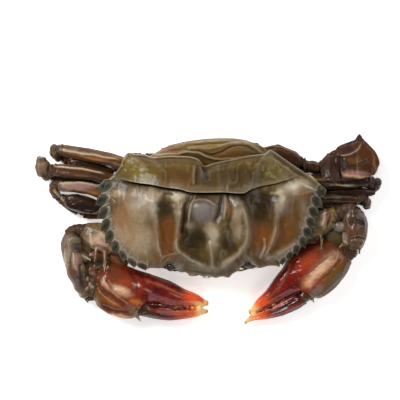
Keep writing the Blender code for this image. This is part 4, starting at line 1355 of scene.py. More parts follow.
def fill_outline(outline: Array, spacing: float, lines: Sequence[Array]) -> tuple[Array, list[list[int]]]:
    """Fill an outline on the plan with even triangles that follow inner lines.

    Args:
        outline: Closed outline; its points come first in the result.
        spacing: Distance between the points inside.
        lines: Lines that the triangles' edges follow.

    Returns:
        The points and the triangles.
    """
    low, high = outline.min(axis=0), outline.max(axis=0)
    rows = []
    for row, y in enumerate(np.arange(low[1], high[1], spacing * 0.866)):
        x = np.arange(low[0] + (row % 2) * spacing / 2, high[0], spacing)
        rows.append(np.column_stack([x, np.full(len(x), y)]))
    fill = np.vstack(rows)
    fill = fill[inside_outline(fill, outline)]
    fixed = np.vstack([outline, *lines])
    verts = [Vector(p) for p in np.vstack([fixed, fill[gaps_to(fill, fixed) > 0.6 * spacing]])]
    edges = [(i, (i + 1) % len(outline)) for i in range(len(outline))]
    first = len(outline)
    for line in lines:
        edges += [(first + i, first + i + 1) for i in range(len(line) - 1)]
        first += len(line)
    flat, _, faces, *_ = delaunay_2d_cdt(verts, edges, [list(range(len(outline)))], 1, 1e-5)
    return np.array([tuple(v) for v in flat]), [list(face) for face in faces]


# ---------------------------------------------------------------- limb segments

@dataclass
class LimbAxis:
    """The axis of one limb segment, read from its solid: where it begins, its way and its sections."""

    start: Array
    along: Array
    side: Array
    up: Array
    length: float
    middles: Array
    halves: Array

    @classmethod
    def read(cls, node: str, away_from: Array, bins: int = 20) -> "LimbAxis":
        """Measure a solid.

        Args:
            node: Solid of the frame.
            away_from: A place on the body's side of the segment.
            bins: Sections that are measured along it.

        Returns:
            The axis, running away from the body.
        """
        points = dense_points(node)
        middle = (points.min(axis=0) + points.max(axis=0)) / 2
        _, vectors = np.linalg.eigh(np.cov((points - points.mean(axis=0)).T))
        along = vectors[:, 2] * (-1.0 if (middle - away_from) @ vectors[:, 2] < 0 else 1.0)
        side = unit(np.cross((0.0, 0.0, 1.0), along))
        up = np.cross(along, side)
        reach = (points - middle) @ along
        start = middle + along * reach.min()
        length = float(reach.max() - reach.min())
        place = (points - start) @ along / length
        across = np.stack([(points - start) @ side, (points - start) @ up], axis=1)
        middles, halves = [], []
        for share in np.linspace(0.0, 1.0, bins):
            off = np.abs(place - share)
            local = across[off <= max(0.04, np.sort(off)[11])]
            middles.append((local.min(axis=0) + local.max(axis=0)) / 2)
            halves.append((local.max(axis=0) - local.min(axis=0)) / 2)
        return cls(start, along, side, up, length, np.array(middles), np.array(halves))

    def section(self, share: Array | float) -> tuple[Array, Array]:
        """Give the middle and the half sizes of the section at a share of the length."""
        bins = np.linspace(0.0, 1.0, len(self.middles))
        return read_rows_at(share, bins, self.middles), read_rows_at(share, bins, self.halves)

    def centre(self, share: float) -> Array:
        """Give the place in the middle of the segment at a share of its length."""
        middle, _ = self.section(share)
        return self.start + self.along * self.length * share + self.side * middle[0] + self.up * middle[1]

    def unroll(self, points: Array) -> tuple[Array, Array, Array]:
        """Measure points from the axis.

        Args:
            points: Places in the frame.

        Returns:
            Each point's share of the length, its angle round the axis and its own coordinates.
        """
        rel = points - self.start
        share = np.clip(rel @ self.along / self.length, 0.0, 1.0)
        middle, half = self.section(share)
        local = np.column_stack([share * self.length, rel @ self.side, rel @ self.up])
        x, y = ((local[:, 1:] - middle) / np.maximum(half, 0.3)).T
        return share, np.arctan2(y, x), local


@dataclass(frozen=True)
class Relief:
    """How strongly the usual details of a limb segment stand out, in millimetres."""

    keels: tuple[float, ...]
    keel: float
    groove: float
    collar: float
    dents: float
    wrinkles: float
    grit: float
    smoothing: int


@dataclass
class Segment:
    """One segment of a limb, wrapped in fine skin with keels, grooves, collars, dents and wrinkles."""

    node: str
    name: str
    finish: Finish
    slot: Slot
    away_from: Array
    relief: Relief
    look: Look
    seed: int
    cell: float = 0.3
    extra: Callable[["Segment", Surface, LimbAxis], None] | None = None

    def axis(self) -> LimbAxis:
        """Give the segment's axis."""
        return LimbAxis.read(self.node, self.away_from)

    def build(self) -> bpy.types.Object:
        """Build the segment's piece.

        Returns:
            The new piece.
        """
        axis = self.axis()
        skin = even_skin(self.node, self.cell).relaxed(self.relief.smoothing, 0.5, 0.3)
        self._mark(skin)
        self._raise_details(skin, axis)
        if self.extra:
            self.extra(self, skin, axis)
        skin.settled().shade_relief(0.035, 5)
        return skin.to_piece(self.name, self.finish, self.slot, [self.node])

    def _mark(self, skin: Surface) -> None:
        """Lay down the segment's own patches, folds and lumps.

        Args:
            skin: Surface of the segment.
        """
        plan = skin.points - PLAN_SHIFT
        wander = Noise(2.2, 40 + self.seed, 2).wander(plan, 0.9)
        skin.masks.update(paint_patches(self.look.marks, plan, wander))
        upper = ramp(skin.normals()[:, 2], -0.1, 0.35)
        height = np.zeros(len(plan))
        for fold in self.look.lines:
            height += fold.draw(plan[:, :2] + 0.3 * wander, skin.masks, upper, (8.0, 10.0), tone=upper)
        for lump in self.look.lumps:
            height += lump.height(plan) * upper
        skin.swollen(height)

    def _raise_details(self, skin: Surface, axis: LimbAxis) -> None:
        """Raise the keels and collars, and press in the grooves, dents and wrinkles.

        Args:
            skin: Surface of the segment.
            axis: Axis of the segment.
        """
        share, angle, local = axis.unroll(skin.points)
        from_start, from_end = share * axis.length, (1.0 - share) * axis.length
        body = ramp(share, 0.02, 0.16) * ramp(share, 0.98, 0.84)
        relief = self.relief
        keel = np.zeros(len(share))
        for bearing in relief.keels:
            keel = np.maximum(keel, bell(np.angle(np.exp(1j * (angle - math.radians(bearing)))), 0.2) * body)
        across = np.angle(np.exp(1j * (angle - math.pi / 2)))
        height = relief.keel * keel - relief.groove * bell(across, 0.3) * body
        for away in (from_start, from_end):
            height += relief.collar * (bell(away - 0.75, 0.45) - 0.7 * bell(away - 1.6, 0.4))
        height += relief.dents * Noise(3.4, self.seed, 2).at(local, (2.2, 1.0, 1.0))
        height -= relief.wrinkles * bell(Noise(1.7, self.seed + 5, 2).at(local, (2.6, 0.8, 0.8)), 0.09)
        height += 0.03 * (1.0 - body) * Noise(1.2, self.seed + 9).at(local)
        height += relief.grit * Noise(0.6, self.seed + 13, 2).at(local)
        skin.swollen(height)
        patchy = ramp(Noise(2.4, self.seed + 3).at(local, (2.0, 1.0, 1.0)), -0.9, 0.3)
        # keel carries a painted highlight along each raised keel.
        skin.masks.update(keel=keel * patchy, along=share, under=ramp(-skin.normals()[:, 2], 0.15, 0.75),
                          joint=np.maximum(bell(from_start - 0.4, 0.9), bell(from_end - 0.4, 0.9)))


def tube(path: Array, halves: Array, sides: int, masks: Masks | None = None) -> Surface:
    """Skin a closed tube along a path.

    Args:
        path: Middles of the sections.
        halves: Half width and half height of each section, or its radius.
        sides: Points round each section.
        masks: Masks with one number for each section.

    Returns:
        The closed tube.
    """
    count = len(path)
    turns = np.arange(sides) * 2 * math.pi / sides
    along = unit(np.vstack([path[1:], path[-1:]]) - np.vstack([path[:1], path[:-1]]))
    side = unit(np.cross((0.0, 0.0, 1.0), along))
    wide, high = np.broadcast_to(halves.reshape(count, -1), (count, 2)).T[:, :, None, None]
    rings = (path[:, None] + wide * np.cos(turns)[:, None] * side[:, None]
             + high * np.sin(turns)[:, None] * np.cross(along, side)[:, None])
    points = np.vstack([rings.reshape(-1, 3), path[:1], path[-1:]])
    last = (count - 1) * sides
    pairs = [(turn, (turn + 1) % sides) for turn in range(sides)]
    faces = [[ring + turn, ring + after, ring + sides + after, ring + sides + turn]
             for ring in range(0, last, sides) for turn, after in pairs]
    for turn, after in pairs:
        faces += [[last + sides, after, turn], [last + sides + 1, last + turn, last + after]]
    spread = {name: np.concatenate([np.repeat(weights, sides), [weights[0], weights[-1]]])
              for name, weights in (masks or {}).items()}
    return Surface(points, faces, spread)


@dataclass
class JointSkin:
    """The soft pleated skin between two segments of a limb."""

    name: str
    inner: LimbAxis
    outer: LimbAxis
    slot: Slot
    fullness: float = 0.95
    depth: float = 1.3
    pleat_depth: float = 0.035
    waist: float = 0.16
    steps: int = 22
    sides: int = 28

    def build(self) -> bpy.types.Object:
        """Build the skin.

        Returns:
            The new piece.
        """
        inner_reach, outer_reach = self.depth / self.inner.length, self.depth / self.outer.length
        start, end = self.inner.centre(1.0 - inner_reach), self.outer.centre(outer_reach)
        _, inner_half = self.inner.section(1.0 - 0.4 * inner_reach)
        _, outer_half = self.outer.section(0.4 * outer_reach)
        way = (self.inner.along - self.outer.along) * 0.12 * np.linalg.norm(end - start)
        t = np.linspace(0.0, 1.0, self.steps)[:, None]
        path = start + (end - start) * t + way * (t * (1 - t) * 4.0)
        pleat = np.cos(t * math.pi * 2 * 4)
        halves = (inner_half * (1 - t) + outer_half * t) * self.fullness * (1.0 + self.pleat_depth * pleat)
        halves *= 1.0 - self.waist * np.sin(t * math.pi)
        # pleat darkens the troughs of the pleats as painted shade.
        skin = tube(path, halves, self.sides, {"pleat": (0.5 - 0.5 * pleat)[:, 0]})
        skin.swollen(0.22 * Noise(1.6, 3, 2).at(skin.points)).settled(LOW_SKIN)
        return skin.to_piece(self.name, SKIN_FINISH, self.slot)


@dataclass(frozen=True)
class Thorn:
    """A horn spine on the plan: its base, its tip and the radius of its base."""

    base: Point3
    tip: Point3
    radius: float
    bend: float = 0.35

    def surface(self, sides: int = 16, steps: int = 22) -> Surface:
        """Model the spine, sunk a little into its owner.

        Args:
            sides: Points round the spine.
            steps: Sections along it.

        Returns:
            The spine.
        """
        base, tip = np.array(self.base) + PLAN_SHIFT, np.array(self.tip) + PLAN_SHIFT
        way = tip - base
        sunk = base - way * 0.18
        t = np.linspace(0.0, 1.0, steps)[:, None]
        lean = unit(np.cross(way, np.cross(way, (0.0, 0.0, 1.0))))
        path = sunk + (tip - sunk) * t - lean * (self.bend * np.sin(t * math.pi))
        radius = (self.radius * (1.0 - t ** 1.1) + 0.06) * (1.0 + 0.03 * np.cos(t * 26.0))
        return tube(path, np.hstack([radius, radius * 0.94]), sides, {"along": t[:, 0]})


def hairs(roots: Array, ways: Array, lengths: Array, radius: float, droop: float, seed: int) -> Surface:
    """Grow curved three-sided hairs, joined in one mesh.

    Args:
        roots: Where each hair grows, in millimetres.
        ways: Unit vectors along which they start.
        lengths: Their lengths.
        radius: Their radius at the root.
        droop: How far a hair falls, as a share of its length.
        seed: Seed of the small differences between them.

    Returns:
        All the hairs as one surface.
    """
    chance = np.random.default_rng(seed)
    steps, sides, count = 5, 3, len(roots)
    t = np.linspace(0.0, 1.0, steps)
    ways = unit(ways + chance.normal(0.0, 0.18, (count, 3)))
    curl = chance.normal(0.0, 0.22, (count, 3))
    side = unit(np.cross(ways, (0.3, 0.2, 0.93)))
    other = np.cross(ways, side)
    points = np.empty((count, steps, sides, 3))
    for step, share in enumerate(t):
        centre = roots + ways * (lengths * share)[:, None] + curl * (lengths * share ** 2)[:, None]
        centre[:, 2] = np.maximum(centre[:, 2] - droop * lengths * share ** 2, radius)
        wide = radius * (1.0 - 0.85 * share)
        for corner in range(sides):
            angle = 2 * math.pi * corner / sides
            points[:, step, corner] = centre + wide * (math.cos(angle) * side + math.sin(angle) * other)
    last = (steps - 1) * sides
    one = [[low + a, low + b, low + sides + b, low + sides + a]
           for low in range(0, last, sides) for a, b in ((0, 1), (1, 2), (2, 0))]
    one += [[0, 2, 1], [last, last + 1, last + 2]]
    faces = [[i + first for i in face]
             for first in range(0, count * steps * sides, steps * sides) for face in one]
    return Surface(points.reshape(-1, 3), faces, {"along": np.tile(np.repeat(t, sides), count)})


@dataclass(frozen=True)
class Lobe:
    """A soft, dented mass of flesh or folded skin that fills the room between the hard plates."""

    name: str
    middle: Point3
    half: Point3
    finish: Finish
    slot: Slot
    markings: tuple[Patch, ...] = ()
    turn: float = 0.0
    dents: float = 0.4
    seed: int = 0
    squareness: float = 0.82

    def build(self) -> bpy.types.Object:
        """Build the mass as a dented, rounded block.

        Returns:
            The new piece.
        """
        bm = bmesh.new()
        bmesh.ops.create_icosphere(bm, subdivisions=6 if max(self.half) > 3.0 else 5, radius=1.0)
        points = np.array([tuple(vert.co) for vert in bm.verts])
        faces = [[vert.index for vert in face.verts] for face in bm.faces]
        bm.free()
        points = np.sign(points) * np.abs(points) ** self.squareness * np.array(self.half)
        cos, sin = math.cos(math.radians(self.turn)), math.sin(math.radians(self.turn))
        turned = np.array(((cos, sin, 0), (-sin, cos, 0), (0, 0, 1)))
        skin = Surface(points @ turned + np.array(self.middle), faces)
        noise = Noise(2.4, 200 + self.seed, 3)
        skin.swollen(self.dents * noise.at(skin.points, (1.5, 1.0, 1.0)))
        skin.masks = paint_patches(self.markings, skin.points, noise.wander(skin.points + 13.0, 0.8, 16.0))
        skin.points = skin.points + PLAN_SHIFT
        skin.settled(LOW_SKIN).shade_relief(0.05, 5)
        return skin.to_piece(self.name, self.finish, self.slot)


# ---------------------------------------------------------------- the crab's finishes

# Across these finishes the crest and keel tints are painted highlights on crests and keels, the line tint is
# partly real pale lines and partly painted highlight, and the hollow and crease tints and the joint skin's
# pleat tint are painted shade.
CREAM = (226, 204, 172)

# In the shell the sheen tint is a painted highlight, the pale tint is partly the shell's tan and partly
# painted highlight, and the dark tint is partly the shell's dark olive and partly painted shade.
SHELL_FINISH = Finish(
    "wet_soft_shell", (80, 60, 26), (98, 75, 37), (46, 33, 16),
    tints(pale=(170, 149, 121, 0.85, 0.25), warm=(130, 73, 25, 0.85, 0.35), gold=(112, 96, 30, 0.7, 0.4),
          dark=(38, 25, 9, 0.95, 0.3), dusk=(118, 112, 114, 0.8, 0.2), hollow=(52, 36, 18, 0.35, 0.2),
          crest=(160, 146, 120, 0.2, 0.2), moss=(96, 100, 74, 0.8, 0.3),
          tooth_rim=(156, 156, 140, 0.85, 0.2), sheen=(202, 194, 174, 0.85, 0.45),
          tooth=(50, 54, 40, 0.88, 0.35), heart=(26, 27, 18, 0.85, 0.3), knob=(128, 120, 62, 0.42, 0.1),
          crease=(22, 15, 8, 0.95, 0.1), line=(186, 172, 146, 0.8, 0.25), under=(206, 190, 158, 0.9, 0.2)),
    mottle_size=3.4, fleck_size=0.6, fleck_share=0.18, roughness=0.36, film=0.4, grain=0.012)

LEG_FINISH = Finish(
    "wet_leg_shell", (84, 54, 28), (112, 76, 38), (44, 27, 16),
    tints(under=(176, 148, 112, 0.6), hollow=(40, 22, 13, 0.6), warm=(150, 88, 32, 0.9),
          pink=(164, 128, 124, 0.9), dark=(34, 18, 14, 0.94), pale=(170, 152, 132, 0.85),
          keel=(150, 122, 94, 0.35, 0.35), joint=(52, 34, 28, 0.6), crease=(20, 12, 8, 0.9, 0.1),
          line=(206, 186, 156, 0.9, 0.1)),
    mottle_size=2.6, stretch=(2.0, 1.0, 1.0), fleck_size=0.5, fleck_share=0.18, roughness=0.28, film=0.55)

ARM_FINISH = Finish(
    "wet_arm_shell", (98, 80, 50), (144, 120, 84), (50, 38, 22),
    tints(under=(*CREAM, 0.6), hollow=(52, 32, 18, 0.5), pink=(196, 158, 138, 0.94),
          gold=(126, 104, 42, 0.85), olive=(72, 62, 32, 0.85), warm=(110, 54, 26, 0.9),
          dark=(38, 22, 16, 0.9), dusk=(132, 138, 126, 0.9), pale=(204, 184, 156, 0.85),
          keel=(172, 152, 122, 0.35), joint=(70, 50, 34, 0.5), crease=(24, 13, 9, 0.9, 0.1),
          line=(206, 186, 158, 0.9, 0.1)),
    mottle_size=1.7, fleck_size=0.6, fleck_share=0.4, mottle_share=0.8, roughness=0.3)

WRIST_FINISH = Finish(
    "wet_wrist_shell", (88, 66, 44), (118, 92, 66), (44, 28, 20),
    tints(under=(*CREAM, 0.5), hollow=(34, 18, 15, 0.55), dusk=(104, 94, 94, 0.8), gold=(116, 94, 44, 0.8),
          olive=(72, 62, 36, 0.85), pink=(184, 140, 122, 0.85), dark=(32, 20, 18, 0.92),
          warm=(104, 52, 36, 0.85), pale=(168, 154, 136, 0.85), moss=(104, 102, 86, 0.8),
          keel=(150, 132, 114, 0.25), joint=(56, 40, 32, 0.6), crease=(20, 12, 10, 0.9, 0.1),
          line=(190, 172, 150, 0.85, 0.1)),
    mottle_size=2.0, fleck_size=0.55, fleck_share=0.3, roughness=0.28, film=0.6)

PALM_FINISH = Finish(
    "wet_red_palm", (112, 17, 9), (146, 40, 17), (56, 8, 8),
    tints(under=(206, 150, 112, 0.7), hollow=(70, 10, 10, 0.5), orange=(236, 88, 38, 0.95, 0.15),
          brown=(96, 48, 22, 0.98), olive=(104, 78, 34, 0.95), cream=(214, 172, 138, 0.92, 0.35),
          gold=(188, 118, 54, 0.85), moss=(96, 92, 68, 0.9), dark=(44, 34, 22, 0.92),
          maroon=(60, 10, 14, 0.92), tip=(248, 204, 134, 0.95, 0.1), keel=(190, 84, 50, 0.2),
          joint=(84, 50, 32, 0.5), crease=(40, 8, 10, 0.9, 0.1), line=(216, 168, 130, 0.75, 0.3)),
    mottle_size=2.6, mottle_share=0.85, stretch=(2.2, 1.0, 1.0), turn=-0.3, fleck_size=0.6, fleck_share=0.4,
    roughness=0.26, film=0.7, film_roughness=0.1, grain=0.006)
LEFT_PALM_FINISH = replace(PALM_FINISH, name="wet_left_red_palm", turn=0.85)

FINGER_FINISH = Finish(
    "wet_dark_red_finger", (84, 11, 13), (124, 24, 18), (40, 7, 11),
    tints(under=(196, 110, 84, 0.6), hollow=(46, 8, 12, 0.5), orange=(232, 98, 42, 0.95, 0.15),
          olive=(62, 50, 30, 0.94), maroon=(54, 9, 15, 0.92), gold=(216, 150, 70, 0.85),
          cream=(208, 150, 124, 0.85), tip=(248, 204, 134, 0.95, 0.1), keel=(180, 60, 50, 0.3),
          joint=(60, 40, 28, 0.6), crease=(36, 8, 10, 0.9, 0.1), line=(226, 140, 122, 0.8, 0.15)),
    mottle_size=2.2, stretch=(2.0, 1.0, 1.0), fleck_size=0.5, fleck_share=0.2, roughness=0.2, film=0.85,
    film_roughness=0.06, grain=0.006)

BLADE_FINISH = Finish(
    "wet_swimming_blade", (54, 30, 10), (74, 42, 14), (30, 16, 8),
    tints(under=(150, 110, 80, 0.5), hollow=(40, 18, 12, 0.5), dusk=(58, 33, 32, 0.85),
          warm=(84, 44, 13, 0.9), pink=(150, 108, 100, 0.85), gold=(118, 84, 38, 0.85),
          dark=(36, 23, 17, 0.95), pale=(138, 94, 56, 0.75), keel=(120, 76, 44, 0.22),
          joint=(60, 38, 28, 0.5), crease=(28, 14, 10, 0.9, 0.1), line=(204, 162, 124, 0.85, 0.1)),
    mottle_size=2.0, fleck_size=0.5, fleck_share=0.2, roughness=0.32, film=0.3, glow=0.05)

TERGITE_FINISH = Finish(
    "wet_abdomen_plates", (86, 63, 27), (104, 78, 36), (54, 38, 18),
    tints(under=(200, 178, 140, 0.6), warm=(118, 60, 24, 0.85, 0.3), stripe=(130, 106, 46, 0.85, 0.35),
          olive=(74, 60, 30, 0.9), dark=(46, 32, 16, 0.85), pale=(136, 120, 90, 0.8),
          hollow=(52, 34, 18, 0.45), crest=(150, 130, 84, 0.25), crease=(34, 22, 12, 0.8, 0.1),
          line=(164, 146, 112, 0.8, 0.15)),
    mottle_size=2.6, stretch=(3.0, 1.0, 1.0), fleck_size=0.5, fleck_share=0.3, roughness=0.32)

BELLY_FINISH = Finish(
    "pale_belly_shell", (212, 192, 156), (190, 166, 126), (150, 138, 118),
    tints(hollow=(132, 108, 78, 0.5), crease=(96, 74, 50, 0.85, 0.15), dusk=(150, 146, 150, 0.6),
          warm=(196, 132, 84, 0.6), edge=(150, 128, 92, 0.6)),
    mottle_size=4.0, fleck_size=0.7, fleck_share=0.25, roughness=0.36, film=0.35, grain=0.025)

SKIN_FINISH = Finish(
    "soft_joint_skin", (84, 60, 42), (62, 42, 32), (40, 27, 21), tints(pleat=(48, 30, 22, 0.5, 0.1)),
    mottle_size=1.6, fleck_size=0.5, fleck_share=0.2, roughness=0.5, film=0.1)

THORN_FINISH = Finish(
    "pale_horn_spine", (116, 98, 62), (134, 114, 78), (88, 68, 44), tints(along=(214, 198, 170, 0.85, 0.0)),
    mottle_size=1.0, fleck_size=0.3, fleck_share=0.15, roughness=0.22, film=0.7, glow=0.15, grain=0.01)

HAIR_FINISH = Finish(
    "wet_brown_hair", (120, 92, 62), (96, 72, 46), (66, 48, 30), tints(along=(178, 148, 104, 0.7, 0.0)),
    mottle_size=1.0, roughness=0.4, film=0.3, grain=0.004, grain_size=0.1)

EYE_FINISH = Finish(
    "glossy_eye", (62, 56, 54), (84, 76, 72), (38, 33, 32),
    tints(pupil=(30, 27, 32, 0.85, 0.2), stalk=(112, 98, 76, 0.9, 0.2)),
    mottle_size=1.0, fleck_size=0.2, fleck_share=0.2, roughness=0.12, film=1.0, film_roughness=0.03,
    grain=0.012, grain_size=0.16)

WHISKER_FINISH = Finish(
    "brown_feeler", (140, 106, 66), (112, 80, 50), (80, 56, 36),
    tints(pleat=(70, 46, 30, 0.7, 0.0), along=(170, 136, 92, 0.3, 0.0)),
    mottle_size=1.2, fleck_size=0.3, roughness=0.4, film=0.3, grain=0.01)


# ---------------------------------------------------------------- body

PLATE_MARKS = patches(warm=((-15.6, 30.9, 5.4, 1.3, 0.9, 4), (5.2, 29.6, 3.4, 1, 0.9),
    (11.2, 31.2, 3, 1, 0.9), (-22.4, 29.4, 2.4, 2, 0.8)), stripe=((2, 33, 8, 1.1, 0.9, 8),
    (-8, 32.6, 4, 0.9, 0.7, 4), (12.4, 34.6, 4, 1, 0.8)), olive=((-4, 28.4, 8, 1.4, 0.8),
    (17, 31, 4.6, 2.6, 0.7)), dark=((21, 28, 4, 3, 0.6), (-9.6, 28.2, 8, 1, 0.5)),
    pale=(-14, 33, 5, 0.8, 0.6, 8))

PLATE_FOLDS = folds(ridges=((0.4, 0.6, 0.9, 0.28, (-25.2, 28.8), (-16.8, 29.5), (-11.6, 29.9), (-7.2, 30.6),
    (-3.2, 30), (0, 28.6), (4.8, 27.8), (11.2, 28), (16.4, 29)),
    (0.3, 0.6, 0.7, 0.3, (-17.6, 32.3), (-10.8, 33.6), (-0.8, 34.7), (7.2, 35.2), (12, 35.4)),
    (0.3, 0.5, 0.5, 0.22, (-6, 32), (2, 31.9), (8, 33.6), (14, 34.2)),
    (0.3, 0.6, 0.6, 0.26, (14, 34.6), (18.4, 32.6), (22.8, 29.6))),
    creases=((-0.4, 0.6, 0.9, 0.3, (-16.4, 30.9), (-9.6, 31.8), (-6.4, 31.2), (-2.8, 30.4), (0.8, 29.4),
    (4.8, 30), (7.2, 31.3), (9.6, 32.7), (13.2, 33.3), (16.4, 32.7), (19.2, 31.3)),
    (-0.25, 0.5, 0.5, 0.25, (-12, 32.4), (-4, 33.4), (4, 34), (12, 34.8))))


@dataclass
class Belly:
    """The underside: the grooved breastplate, the folded apron and its last plate."""

    finish: Finish
    suture_rows: tuple[float, ...] = (17.0, 11.4, 5.6, -0.6, -7.2)
    apron_rows: tuple[float, ...] = (9.2, 13.6, 18.6, 23.8)

    def build(self) -> list[bpy.types.Object]:
        """Build the three pieces."""
        return [self._breastplate(), self._apron(), self._last_plate()]

    def _breastplate(self) -> bpy.types.Object:
        """Build the breastplate with its sutures.

        Returns:
            The new piece.
        """
        skin = even_skin("thorax", 0.38).relaxed(10, 0.5, 0.3)
        plan = skin.points - PLAN_SHIFT
        across = np.abs(plan[:, 0])
        below = ramp(-skin.normals()[:, 2], 0.1, 0.7)
        side = np.maximum(below, ramp(plan[:, 2], 11.0, 8.0)) * ramp(across, 7.0, 11.0)
        depth = np.zeros(len(plan))
        for row in self.suture_rows:
            bow = row + 0.006 * (across - 9.0) ** 2 * (1.0 if row > 3 else -1.0)
            depth = np.maximum(depth, 0.55 * bell(plan[:, 1] - bow, 0.42) * side)
        depth += 0.3 * bell(across - 15.5, 0.5) * below * ramp(plan[:, 1], -8.0, -4.0)
        depth -= 0.2 * Noise(5.0, 61, 2).at(plan) + 0.03 * Noise(0.9, 62, 2).at(plan)
        skin.grooved(depth, 0.5).masks.update(warm=ramp(across, 17.0, 24.0) * 0.7,
                                              dusk=bell(across - 12.5, 4.0) * 0.5)
        skin.settled().shade_relief(0.05)
        return skin.to_piece("belly_breastplate", self.finish, Slot.BELLY, ["thorax"])

    def _apron(self) -> bpy.types.Object:
        """Build the folded apron with the joints of its plates.

        Returns:
            The new piece.
        """
        skin = even_skin("abdomen_apron", 0.3).relaxed(6, 0.5, 0.3)
        plan = skin.points - PLAN_SHIFT
        across = np.abs(plan[:, 0])
        joints = [0.42 * bell(plan[:, 1] - row + 0.012 * across ** 2, 0.4) for row in self.apron_rows]
        depth = np.max(joints, axis=0) + 0.12 * bell(across - 3.2, 0.6)
        depth -= 0.1 * Noise(3.0, 63, 2).at(plan) + 0.025 * Noise(0.8, 64, 2).at(plan)
        skin.grooved(depth, 0.4).masks.update(edge=bell(across - 9.5, 2.0))
        skin.settled().shade_relief(0.04)
        return skin.to_piece("belly_apron", self.finish, Slot.BELLY, ["abdomen_apron"])

    def _last_plate(self) -> bpy.types.Object:
        """Build the telson.

        Returns:
            The new piece.
        """
        skin = even_skin("telson", 0.25).relaxed(6, 0.5, 0.3)
        plan = skin.points - PLAN_SHIFT
        skin.grooved(0.18 * bell(plan[:, 0], 0.5) - 0.07 * Noise(2.0, 65, 2).at(plan), 0.3)
        skin.settled().shade_relief(0.04)
        return skin.to_piece("belly_telson", self.finish, Slot.BELLY, ["telson"])


@dataclass
class RearPlates:
    """The first plates of the abdomen, which fall behind the carapace and turn under the body."""

    finish: Finish
    cell: float = 0.28
    hub: Point2 = (28.0, 9.6)
    back_ridges: tuple[float, ...] = (38.0, 12.0, -18.0, -48.0)
    markings: tuple[Patch, ...] = PLATE_MARKS
    lines: tuple[Fold, ...] = PLATE_FOLDS

    def build(self) -> bpy.types.Object:
        """Build the plates with their folded upper side and the ridges of the back.

        Returns:
            The new piece.
        """
        skin = even_skin("abdomen_tergites", self.cell).relaxed(12, 0.5, 0.3)
        plan = skin.points - PLAN_SHIFT
        normals = skin.normals()
        upper = ramp(normals[:, 2], 0.1, 0.5)
        wander = Noise(3.0, 74, 2).wander(plan, 1.0)
        painted = paint_patches(self.markings, plan, wander)
        skin.masks = {name: weight * upper for name, weight in painted.items()}
        height = 0.3 * Noise(5.0, 72, 2).at(plan, (2.0, 1.0, 1.0)) + 0.015 * Noise(0.8, 73, 2).at(plan)
        for fold in self.lines:
            height += fold.draw(plan[:, :2] + 0.35 * wander, skin.masks, upper, tone=upper)
        sag = 0.0055 * plan[:, 0] ** 2
        angle = np.degrees(np.arctan2(plan[:, 2] + sag - self.hub[1], plan[:, 1] - self.hub[0]))
        back = (1.0 - upper) * ramp(normals[:, 1], -0.2, 0.3)
        wave = 2.6 * Noise(11.0, 71, 2).at(plan * (1, 0, 0))
        for bearing in self.back_ridges:
            off = angle + wave - bearing
            height += back * (0.4 * bell(off, 4.6) - 0.3 * bell(off + 8.0, 3.4))
            # Painted highlight on each back ridge and painted shade in the groove beside it.
            raise_mask(skin.masks, "line", 0.4 * back * bell(off, 2.6))
            raise_mask(skin.masks, "crease", 0.5 * back * bell(off + 8.0, 2.0))
        skin.swollen(height).masks["under"] = 1.0 - ramp(plan[:, 2], 4.0, 8.0)
        skin.settled().shade_relief(0.05, 5)
        return skin.to_piece("abdomen_rear_plates", self.finish, Slot.TERGITES, ["abdomen_tergites"])


@dataclass
class Eye:
    """A stalked eye in its socket."""

    side: Side
    finish: Finish
    rows: int = 40

    def build(self) -> bpy.types.Object:
        """Build the eye as a waisted ball that runs into its stalk.

        Returns:
            The new piece.
        """
        node = "eye_" + self.side.value
        low, high = node_box(node)
        middle, half = (low + high) / 2, (high - low) / 2
        t = np.linspace(0.0, 1.0, self.rows)[:, None]
        hand = self.side.hand
        tail = middle + half * (-hand * 1.25, 0.9, -0.2)
        way = middle + half * (hand * 0.86, -0.42, 0.05) - tail
        ball = np.sqrt(np.clip(1.0 - ((t - 0.68) / 0.322) ** 2, 0.0, 1.0))
        stalk = np.where(t < 0.6, 0.56 + 0.06 * np.cos(t * 9.0), 0.02)
        skin = tube(tail + way * t, np.maximum(ball, stalk) * half[1:] * 0.96, 44)
        place = np.clip((skin.points - tail) @ way / (way @ way), 0.0, 1.0)
        skin.masks.update(stalk=ramp(place, 0.5, 0.36), pupil=ramp(place, 0.55, 0.8))
        skin.relaxed(4).shade_relief(0.05, 3)
        return skin.to_piece("eye_ball_" + self.side.value, self.finish, Slot.EYE, [node])


